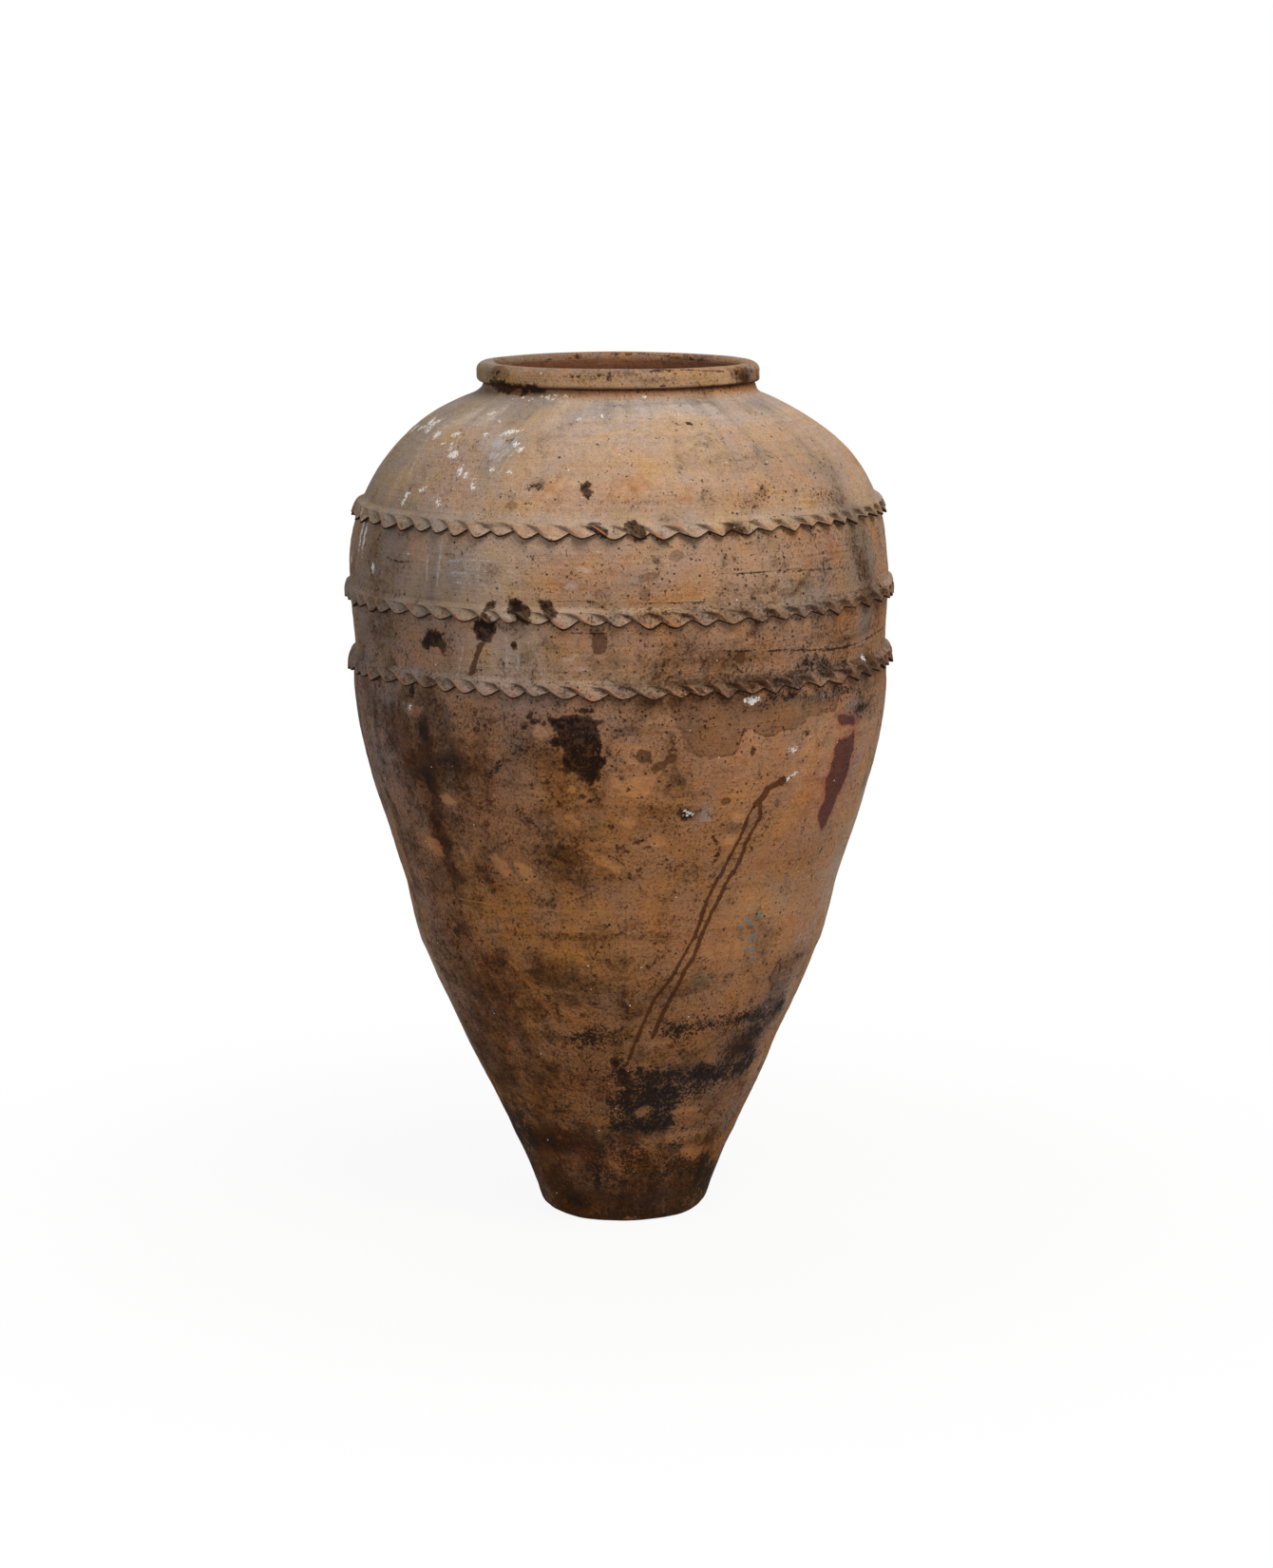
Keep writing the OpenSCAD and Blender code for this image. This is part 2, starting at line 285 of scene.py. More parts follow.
outward = add(wheel, "ShaderNodeVectorMath", {0: turned, 1: (1.0, 1.0, 0.0)}, operation="MULTIPLY").outputs[0]
outward = add(wheel, "ShaderNodeVectorMath", {0: outward}, operation="NORMALIZE").outputs[0]
outward = add(wheel, "ShaderNodeVectorMath", {0: outward, "Scale": push}, operation="SCALE").outputs[0]
final = add(wheel, "ShaderNodeVectorMath", {0: turned, 1: outward}, operation="ADD").outputs[0]

kept = add(wheel, "GeometryNodeStoreNamedAttribute", {"Geometry": grid, "Name": "skin", "Value": skin},
           data_type="FLOAT", domain="POINT").outputs[0]
thrown = add(wheel, "GeometryNodeSetPosition", {"Geometry": kept, "Position": final}).outputs[0]
closed = add(wheel, "GeometryNodeMergeByDistance", {"Geometry": thrown, "Distance": TOUCHING}).outputs[0]
real = add(wheel, "GeometryNodeRealizeInstances", {"Geometry": closed}).outputs[0]
clad = add(wheel, "GeometryNodeSetMaterial", {"Geometry": real, "Material": given["Clay"]}).outputs[0]
add(wheel, "NodeGroupOutput", {"Lift": clad})
print("wheel tree:", len(wheel.nodes), "nodes")


# %% [markdown]
# ## Running a tree
# A modifier's inputs go by the socket's identifier and are set before the object is first evaluated. The
# result is copied into a plain mesh, because the finished piece must not depend on the tree or on the section
# it used.


# %% Run a tree
def run_tree(tree, carrier, values):
    """The plain mesh that a tree makes on a carrier object, which is then removed."""
    modifier = carrier.modifiers.new("making", "NODES")
    modifier.node_group = tree
    for item in tree.interface.items_tree:
        if item.in_out == "INPUT" and item.name in values:
            modifier[item.identifier] = values[item.name]
    seen = carrier.evaluated_get(bpy.context.evaluated_depsgraph_get())
    mesh = bpy.data.meshes.new_from_object(seen)
    carrier.modifiers.remove(modifier)
    bpy.data.objects.remove(carrier)
    return mesh


def store(mesh, name, values):
    """Writes numbers to a float attribute of the vertices."""
    kept = mesh.attributes.get(name) or mesh.attributes.new(name, "FLOAT", "POINT")
    kept.data.foreach_set("value", np.asarray(values, np.float32))


def part_for_tree(name, places, faces=(), **attributes):
    """An object that a tree takes: a section's points or one fold, with float attributes."""
    mesh = bpy.data.meshes.new(name)
    mesh.from_pydata([tuple(p) for p in places], [], faces)
    for key, values in attributes.items():
        store(mesh, key, values)
    thing = bpy.data.objects.new(name, mesh)
    bpy.context.scene.collection.objects.link(thing)
    return thing


clay = bpy.data.materials.new("weathered_terracotta")
COLUMNS = 720


def throw(name):
    """One lift of the wall, thrown from its section."""
    if name == "rim":
        points = rim_section
        skin_share = np.ones(len(points))
        skin_share[-LIP_POINTS - BORE_POINTS:-BORE_POINTS] = np.linspace(1.0, 0.6, LIP_POINTS)
        skin_share[-BORE_POINTS:] = np.linspace(0.3, 0.0, BORE_POINTS)
    else:
        points = np.vstack([outer[name], inner[name][::-1]])
        skin_share = np.concatenate([np.ones(len(outer[name])), np.zeros(len(inner[name]))])
    places = np.column_stack([np.zeros(len(points)), -points[:, 0], points[:, 1]]) * MM
    shape = part_for_tree(name + "_section", places, skin=skin_share)
    carrier = part_for_tree(name + "_carrier", [(0, 0, 0)])
    mesh = run_tree(wheel, carrier, {
        "Section": shape, "Columns": COLUMNS, "Ring depth": 1.0 * MM, "Ring spacing": 9.0 * MM,
        "Lump depth": 2.4 * MM, "Lump size": 110.0 * MM, "Clay": clay})
    bpy.data.objects.remove(shape)
    return mesh


walls = {name: throw(name) for name in SEAM_Z}
print("thrown:", {name: len(mesh.polygons) for name, mesh in walls.items()})

# %% [markdown]
# ## The pinched rope
# Each rope is a coil of clay pressed on the wall, and then pinched between thumb and finger all the way
# round. A pinch pulls a fold of clay to the right and down, so every fold starts as a sharp edge on the upper
# shelf and plunges to a tip. One fold is drawn here by rule, with its columns following that slanting edge,
# so the edge stays crisp. The rule takes a sharpness: at 0 the fold is round like a petal, and at 1 it is
# pointed like a pyramid. Worn edge, dirt with painted shade in the hollows, a painted shadow under the lip
# and dust are noted down with the shape, because they follow it.

# %% Draw one fold
FOLDS = 64
ACROSS = np.array([0, 0.02, 0.045, 0.08, 0.13, 0.2, 0.28, 0.37, 0.46, 0.55, 0.64, 0.73, 0.81, 0.87, 0.91,
                   0.94, 0.97, 1.0])
BED_OUT, BED_TOP, TOP_OUT, TOP_Z = -2.0, 9.0, -0.4, 13.0
CREST_OUT, SHELF_SHARE, VALLEY = 7.8, 0.78, 0.6
SHELF_Z, TIP_Z, NOTCH_Z = 6.4, -7.8, -1.6
SHARP_UPRIGHT = 0.45
# shares down the face, and at each the slant of the edge, how far valley and ridge stand out, and the dirt
# and painted shade
SLANT = ([0, 0.12, 0.35, 0.56, 0.8, 0.94, 1.0], [0.26, 0.40, 0.55, 0.67, 0.81, 0.92, 1.0])
SCOOP = ([0, 0.15, 0.4, 0.75, 1.0], [0.79, 0.68, 0.40, 0.28, 0.48])
RIDGE = ([0, 0.2, 0.5, 1.0], [0.80, 0.93, 1.0, 1.0])
SHADE = ([0, 0.08, 0.22, 0.5, 0.8, 1.0], [0.0, 0.45, 0.9, 0.72, 0.135, 0.0])
# the rounding under the tip: share of its distance out, and drop
UNDERSIDE = [(1.0, 0.4), (0.98, 1.3), (0.86, 1.9), (0.6, 1.8), (0.35, 1.0)]
# painted shadow: the underside's mark is high enough to draw a dark line in the gap under the lip
UNDER_LIP_SHADOW = 1.6


def fold_section(w, sharp):
    """One closed section at share w across the fold: distance out, height, slant, face flag, and dirt with
    painted shade.
    """
    zigzag = abs(1 - 2 * w)
    cusp = 1 - (w / VALLEY) ** 1.5 if w < VALLEY else ((w - VALLEY) / (1 - VALLEY)) ** 1.15
    cusp += (zigzag - cusp) * sharp
    wave = 0.5 + 0.5 * math.cos(2 * math.pi * w)
    hang, belly = [wave**bend * (1 - sharp) + zigzag * sharp for bend in (0.6, 0.7)]
    low = NOTCH_Z + (TIP_Z - NOTCH_Z) * hang
    flank = max(0.0, math.sin(math.pi * min(max((w - 0.52) / 0.48, 0), 1)))
    section = [(BED_OUT, BED_TOP, 0.0, 0.0, 0.0)]
    for t in np.linspace(0, 1, 8):
        out = TOP_OUT + (CREST_OUT * SHELF_SHARE - TOP_OUT) * t**1.6
        section.append((out, TOP_Z - (TOP_Z - SHELF_Z) * t**0.9, 0.0, 0.3 * t, 0.0))
    for v in np.linspace(0, 1, 19)[1:]:
        scoop, ridge = np.interp(v, *SCOOP), np.interp(v, *RIDGE)
        out = CREST_OUT * (scoop + (ridge - scoop) * np.interp(v, [0.45, 1.0], [cusp, belly]))
        slant = 1 - (1 - np.interp(v, *SLANT)) * (1 - SHARP_UPRIGHT * sharp)
        # the last number is dirt with painted shade in the hollow below the shelf
        section.append((out, SHELF_Z + (low - SHELF_Z) * v, slant, 1.0, flank * np.interp(v, *SHADE)))
    tip_out = section[-1][0]
    for share, drop in UNDERSIDE:
        section.append((tip_out * share, low - drop, 1.0, 0.0, UNDER_LIP_SHADOW))
    section.append((0.3, low + 1.5, 1.0, 0.0, UNDER_LIP_SHADOW))
    section.append((BED_OUT, low + 3.0, 1.0, 0.0, UNDER_LIP_SHADOW))
    return section


CREST_HALF, DUSTY = 0.08, 0.62


def fold_mesh(radius_at, sharp):
    """One fold's places, attributes and faces, for a wall whose radius above the seam is given."""
    places, crest, hollow, cream, faces = [], [], [], [], []
    sections = [fold_section(w, sharp) for w in ACROSS]
    count = len(sections[0])
    for w, section in zip(ACROSS, sections):
        for out, height, slant, face, dirt_and_shade in section:
            azimuth = (w + slant) * 2 * math.pi / FOLDS
            radius = radius_at(height) + out
            places.append((radius * math.sin(azimuth) * MM, -radius * math.cos(azimuth) * MM, height * MM))
            crest.append(face * math.exp(-((min(w, 1 - w) / CREST_HALF) ** 2)))
            hollow.append(dirt_and_shade)
            cream.append(face * max(0.0, math.sin(math.pi * min(w / DUSTY, 1))))
    for k in range(len(ACROSS) - 1):
        for i in range(count):
            j = (i + 1) % count
            faces.append((k * count + i, k * count + j, (k + 1) * count + j, (k + 1) * count + i))
    return places, {"crest": crest, "hollow": hollow, "cream": cream}, faces


print("one fold:", len(ACROSS) - 1, "columns,", len(fold_section(0.3, 0)), "points in a section")

# %% [markdown]
# ## Repeating the fold
# The tree makes one point for each fold, turns an instance of the fold to its place, realizes them all and
# merges the edges where neighbours touch. The crest, hollow and cream attributes ride along, and the finish
# uses them for worn edges with a faint painted highlight, for dirt with painted shade and a painted shadow
# under the lip, and for dust. Each rope is laid twice, round and sharp.

# %% Build the rope tree
rope_tree = bpy.data.node_groups.new("pinched_rope", "GeometryNodeTree")
for name, kind in [("Fold", "Object"), ("Folds", "Int"), ("Clay", "Material")]:
    rope_tree.interface.new_socket(name, in_out="INPUT", socket_type="NodeSocket" + kind)
rope_tree.interface.new_socket("Rope", in_out="OUTPUT", socket_type="NodeSocketGeometry")

given = add(rope_tree, "NodeGroupInput").outputs
fold = add(rope_tree, "GeometryNodeObjectInfo",
           {"Object": given["Fold"], "As Instance": True}).outputs["Geometry"]
points = add(rope_tree, "GeometryNodePoints", {"Count": given["Folds"]}).outputs[0]
number = add(rope_tree, "GeometryNodeInputIndex").outputs[0]
part = add(rope_tree, "ShaderNodeMath", {0: number, 1: given["Folds"]}, operation="DIVIDE").outputs[0]
angle = add(rope_tree, "ShaderNodeMath", {0: part, 1: 2 * math.pi}, operation="MULTIPLY").outputs[0]
facing = add(rope_tree, "ShaderNodeCombineXYZ", {"Z": angle}).outputs[0]
ring = add(rope_tree, "GeometryNodeInstanceOnPoints",
           {"Points": points, "Instance": fold, "Rotation": facing}).outputs[0]
real = add(rope_tree, "GeometryNodeRealizeInstances", {"Geometry": ring}).outputs[0]
joined = add(rope_tree, "GeometryNodeMergeByDistance", {"Geometry": real, "Distance": TOUCHING}).outputs[0]
clad = add(rope_tree, "GeometryNodeSetMaterial", {"Geometry": joined, "Material": given["Clay"]}).outputs[0]
add(rope_tree, "NodeGroupOutput", {"Rope": clad})

ROPES = {
    # rope: the seam it covers, and a pixel of one tip in the photograph
    "lower_rope": ("lower_belly_ring", (655, 737)),
    "middle_rope": ("upper_belly_ring", (654, 657)),
    "upper_rope": ("shoulder", (643, 566)),
}


def lay_rope(name, sharp):
    """One rope at its seam, with a tip where the photograph shows one."""
    seam, tip_pixel = ROPES[name]
    places, notes, faces = fold_mesh(lambda height: wall_radius(SEAM_Z[seam] + height), sharp)
    one = part_for_tree(name + "_fold", places, faces, **notes)
    carrier = part_for_tree(name + "_carrier", [(0, 0, 0)])
    ring = run_tree(rope_tree, carrier, {"Fold": one, "Folds": FOLDS, "Clay": clay})
    bpy.data.objects.remove(one)
    tip = wall_at(*tip_pixel)[0] - 2 * math.pi / FOLDS
    ring.transform(Matrix.Translation((0, 0, SEAM_Z[seam] * MM)) @ Matrix.Rotation(tip, 4, "Z"))
    return ring


ropes = {name: lay_rope(name, 0.0) for name in ROPES}
sharp_ropes = {name: lay_rope(name, 1.0) for name in ROPES}
print("laid:", {name: len(mesh.polygons) for name, mesh in ropes.items()})

# %% [markdown]
# ## The potter's hand
# Nothing thrown by hand is round. The wall swings a few millimetres to the left at the lower lift and the
# upper belly, kinks a little where lifts were joined, and the fingers left long soft hollows. The rim tilts
# down to the right. One function gives that push for any place on the jar, so the ropes move with the wall
# that they sit on and neighbours keep meeting.


# %% Push the wall by hand
WALL_DRUM, ROPE_DRUM = 280.0, 300.0
HAND = [
    # where, how far outward in millimetres, height and half height
    ("swings left", 2.0, 290, 90), ("swings left", 1.8, 800, 45), ("swings left", 4.0, 945, 28),
    ("swings left", -2.4, 972, 7), ("left", -1.6, 250, 40), ("right", -3.2, 212, 30),
    ("right", -1.4, 390, 60), ("all round", 1.3, 330, 16), ("all round", -1.4, 402, 24),
    ("all round", 0.8, 90, 10),
]
UNEVEN = {
    # what varies along the clay: amount, size of its lumps in millimetres, and seed
    "wall": [(0.9, 240, 5), (0.35, 70, 6)],
    "thick": [(0.14, 75, 11), (0.08, 40, 15)],
    "long": [(0.24, 52, 12)],
    "level": [(1.2, 330, 13)],
    "turn": [(0.016, 150, 14), (0.005, 55, 16)],
}
WAVES = 16


def bump(z, middle, half):
    """A soft bump of height 1 round a middle."""
    return np.exp(-(((z - middle) / half) ** 2))


def rise(value, start, full):
    """A share from 0 at start to 1 at full."""
    return np.clip((value - start) / (full - start), 0, 1)


def drum_places(a, z, radius):
    """Places on an upright drum, so that noise runs along the wall and not through it."""
    return np.column_stack([radius * np.sin(a), -radius * np.cos(a), z])


def swell(places, size, seed):
    """Smooth random lumps of about one size in millimetres, between about -1 and 1."""
    rng = np.random.default_rng(seed)
    heading = rng.normal(size=(WAVES, 3))
    heading /= np.linalg.norm(heading, axis=1)[:, None]
    heading *= 2 * np.pi / size * rng.uniform(0.7, 1.4, (WAVES, 1))
    return np.sin(places @ heading.T + rng.uniform(0, 2 * np.pi, WAVES)).sum(1) / math.sqrt(WAVES)


def uneven(kind, places):
    """How far one thing varies at each place."""
    return sum(amount * swell(places, size, seed) for amount, size, seed in UNEVEN[kind])


def hand_push(a, z):
    """How far the hand moved the wall outward, in millimetres."""
    left = -np.sin(a)
    side = {"swings left": left, "left": np.clip(left, 0, 1), "right": np.clip(-left, 0, 1), "all round": 1.0}
    push = sum(far * side[where] * bump(z, height, half) for where, far, height, half in HAND)
    return push + uneven("wall", drum_places(a, z, WALL_DRUM))


def cylinder_places(mesh):
    """Azimuth, radius and height of every vertex, the last two in millimetres."""
    xyz = np.empty(len(mesh.vertices) * 3)
    mesh.vertices.foreach_get("co", xyz)
    xyz = xyz.reshape(-1, 3) / MM
    return np.arctan2(xyz[:, 0], -xyz[:, 1]), np.hypot(xyz[:, 0], xyz[:, 1]), xyz[:, 2]


BOX_GAP = 0.1
SHARP_EDGE = math.radians(52)


def put_back(mesh, a, r, z):
    """Writes cylinder places back to the mesh, inside the CAD box, and points its faces outward."""
    r = np.minimum(r, cad_box[1].x / MM - BOX_GAP)
    z = np.clip(z, 0.0, cad_box[1].z / MM)
    xyz = drum_places(a, z, r) * MM
    mesh.vertices.foreach_set("co", xyz.ravel())
    work = bmesh.new()
    work.from_mesh(mesh)
    bmesh.ops.recalc_face_normals(work, faces=work.faces)
    work.to_mesh(mesh)
    work.free()
    mesh.shade_smooth()
    mesh.set_sharp_from_angle(angle=SHARP_EDGE)
    mesh.update()


def values_of(mesh, name):
    """A float attribute as an array, or zeros where the mesh has none."""
    found = mesh.attributes.get(name)
    values = np.zeros(len(mesh.vertices), np.float32)
    if found:
        found.data.foreach_get("value", values)
    return values


POLE_FADE = 60.0
RIM_TILT, TILT_FROM, TILT_FULL = 2.2, 955.0, 995.0
for mesh in walls.values():
    a, r, z = cylinder_places(mesh)
    fade = rise(r, 0, POLE_FADE) * values_of(mesh, "skin")
    tilt = RIM_TILT * np.clip(np.sin(a), 0, 1) * rise(z, TILT_FROM, TILT_FULL)
    put_back(mesh, a, r + hand_push(a, z) * fade, z - tilt)
print("pushed", len(walls), "lifts")

# %% [markdown]
# ## Uneven ropes
# The pinches changed on the way round: the folds are rounder on the left and more pointed on the right. The
# round and sharp rings of a rope have the same points, so one slides into the other by a share that grows to
# the right. Smooth random lumps then make folds thicker, longer, higher or further along than their
# neighbours. Two lobes of the upper rope have suffered: one has broken off and one is flattened.

# %% Blend and wear the ropes
SHARP_GAIN, SHARP_FROM = 1.6, 0.1
CREST_DULLED = 0.42
WORN_LOBES = {
    # rope: the pixel of a lobe, its half width in millimetres and the share that is gone
    "upper_rope": [((772, 557), 12.5, 0.93), ((524, 553), 12.0, 0.55)],
}
for name, mesh in ropes.items():
    a, r, z = cylinder_places(mesh)
    sharp_a, sharp_r, sharp_z = cylinder_places(sharp_ropes[name])
    bpy.data.meshes.remove(sharp_ropes[name])
    sharp = np.clip(SHARP_GAIN * np.sin(a) - SHARP_FROM, 0, 1)
    a = a + ((sharp_a - a + np.pi) % (2 * np.pi) - np.pi) * sharp
    r, z = r + (sharp_r - r) * sharp, z + (sharp_z - z) * sharp
    crest = values_of(mesh, "crest") * (1 - CREST_DULLED * sharp)
    seam_z = SEAM_Z[ROPES[name][0]]
    along = drum_places(a, np.full(len(a), seam_z), ROPE_DRUM)
    out = r - wall_radius(z)
    out = np.where(out > 0, out * (1 + uneven("thick", along)), out)
    reach = np.where(z < seam_z, (z - seam_z) * (1 + uneven("long", along)), z - seam_z)
    height = seam_z + reach + uneven("level", along)
    a = a + uneven("turn", along)
    for pixel, half, share in WORN_LOBES.get(name, []):
        near = np.exp(-(((a - wall_at(*pixel)[0]) * ROPE_DRUM / half) ** 6))
        lost = share * near * rise(z, seam_z + 6, seam_z + 1)
        out = np.where(out > 0, out * (1 - lost), out)
        crest = crest * (1 - lost)
    store(mesh, "crest", crest)
    put_back(mesh, a, wall_radius(height) + out + hand_push(a, height), height)
print("blended", len(ropes), "ropes")

# %% [markdown]
# ## Stains, films and wear
# Decades of oil, tar, rain and soot have marked this clay, and no two jars share those marks. They are
# painted as numbers on the vertices. A hard mark holds how many millimetres inside its edge a vertex lies, so
# that the shader can cut a crisp and ragged edge between two vertices. A soft film holds an amount. Every
# mark is placed by pixels of the photograph, which the camera's ray carries onto the wall.


# %% Measure how deep a place lies in a mark
OUTSIDE, LEAST_R, TINY = -12.0, 90.0, 1e-9
NEAR_ROUND, NEAR_UP = 260.0, 15.0


def along_wall(a, centre, up):
    """Distance round the wall from a centre azimuth, in millimetres, at a length up the wall."""
    apart = (a - centre + np.pi) % (2 * np.pi) - np.pi
    return apart * np.maximum(np.interp(up, outline_run, outline[:, 0]), LEAST_R)


def wall_place(px, py):
    """Azimuth of a pixel, and its length up the wall."""
    azimuth, z = wall_at(px, py)
    return azimuth, float(wall_run(z))


def trace(text):
    """The wall place of each pixel in a line of x,y pairs."""
    return [wall_place(*[float(v) for v in pair.split(",")]) for pair in text.split()]


def keep_deepest(depth, near, value):
    """Raises depth to value at the places in near."""
    depth[near] = np.maximum(depth[near], value)


def off_line(s, h, ds, dh):
    """Distance of places from a straight line that starts at 0, 0 and ends at ds, dh."""
    t = np.clip((s * ds + h * dh) / (ds * ds + dh * dh + TINY), 0, 1)
    return np.hypot(s - t * ds, h - t * dh)


def depth_in_shapes(a, up, depth, shapes):
    """Millimetres inside traced outlines, negative outside."""
    for text in shapes:
        corners = trace(text)
        centre = corners[0][0]
        levels = [level for azimuth, level in corners]
        near = (up > min(levels) - NEAR_UP) & (up < max(levels) + NEAR_UP)
        near = np.where(near & (np.abs(along_wall(a, centre, up)) < NEAR_ROUND))[0]
        s, h = along_wall(a[near], centre, up[near]), up[near]
        edge = [(float(along_wall(azimuth, centre, level)), level) for azimuth, level in corners]
        gap, inside = np.full(len(near), np.inf), np.zeros(len(near), bool)
        for (s0, h0), (s1, h1) in zip(edge, edge[1:] + edge[:1]):
            gap = np.minimum(gap, off_line(s - s0, h - h0, s1 - s0, h1 - h0))
            inside ^= ((h0 > h) != (h1 > h)) & (s < (s1 - s0) * (h - h0) / (h1 - h0 + TINY) + s0)
        keep_deepest(depth, near, np.where(inside, gap, -gap))


def depth_in_spots(a, up, depth, spots):
    """The same for ovals: a pixel, half width and half height in millimetres, and a tilt in degrees."""
    for px, py, wide, high, tilt in spots:
        centre, level = wall_place(px, py)
        reach = 3 * max(wide, high) - OUTSIDE
        near = np.where((np.abs(up - level) < reach) & (np.abs(along_wall(a, centre, up)) < reach))[0]
        s, h = along_wall(a[near], centre, up[near]), up[near] - level
        c, d = math.cos(math.radians(tilt)), math.sin(math.radians(tilt))
        q = np.hypot((s * c + h * d) / wide, (h * c - s * d) / high)
        keep_deepest(depth, near, (1 - q) * min(wide, high))


def depth_in_runs(a, up, depth, runs):
    """The same for drips: pixels along a line, and its half width in millimetres."""
    for half, text in runs:
        path = trace(text)
        for (a0, low), (a1, high) in zip(path, path[1:]):
            near = np.where((up > min(low, high) + OUTSIDE) & (up < max(low, high) - OUTSIDE))[0]
            s, h = along_wall(a[near], a0, up[near]), up[near] - low
            keep_deepest(depth, near, half - off_line(s, h, float(along_wall(a1, a0, high)), high - low))


def soft_amount(a, up, clouds):
    """A sum of soft clouds, each a pixel, half sizes in millimetres and an amount."""
    total = np.zeros(len(a))
    for px, py, wide, high, amount in clouds:
        centre, level = wall_place(px, py)
        total += amount * np.exp(-((along_wall(a, centre, up) / wide) ** 2) - ((up - level) / high) ** 2)
    return total


print("one degree at the belly is", round(float(along_wall(math.radians(1), 0.0, wall_run(700))), 1), "mm")
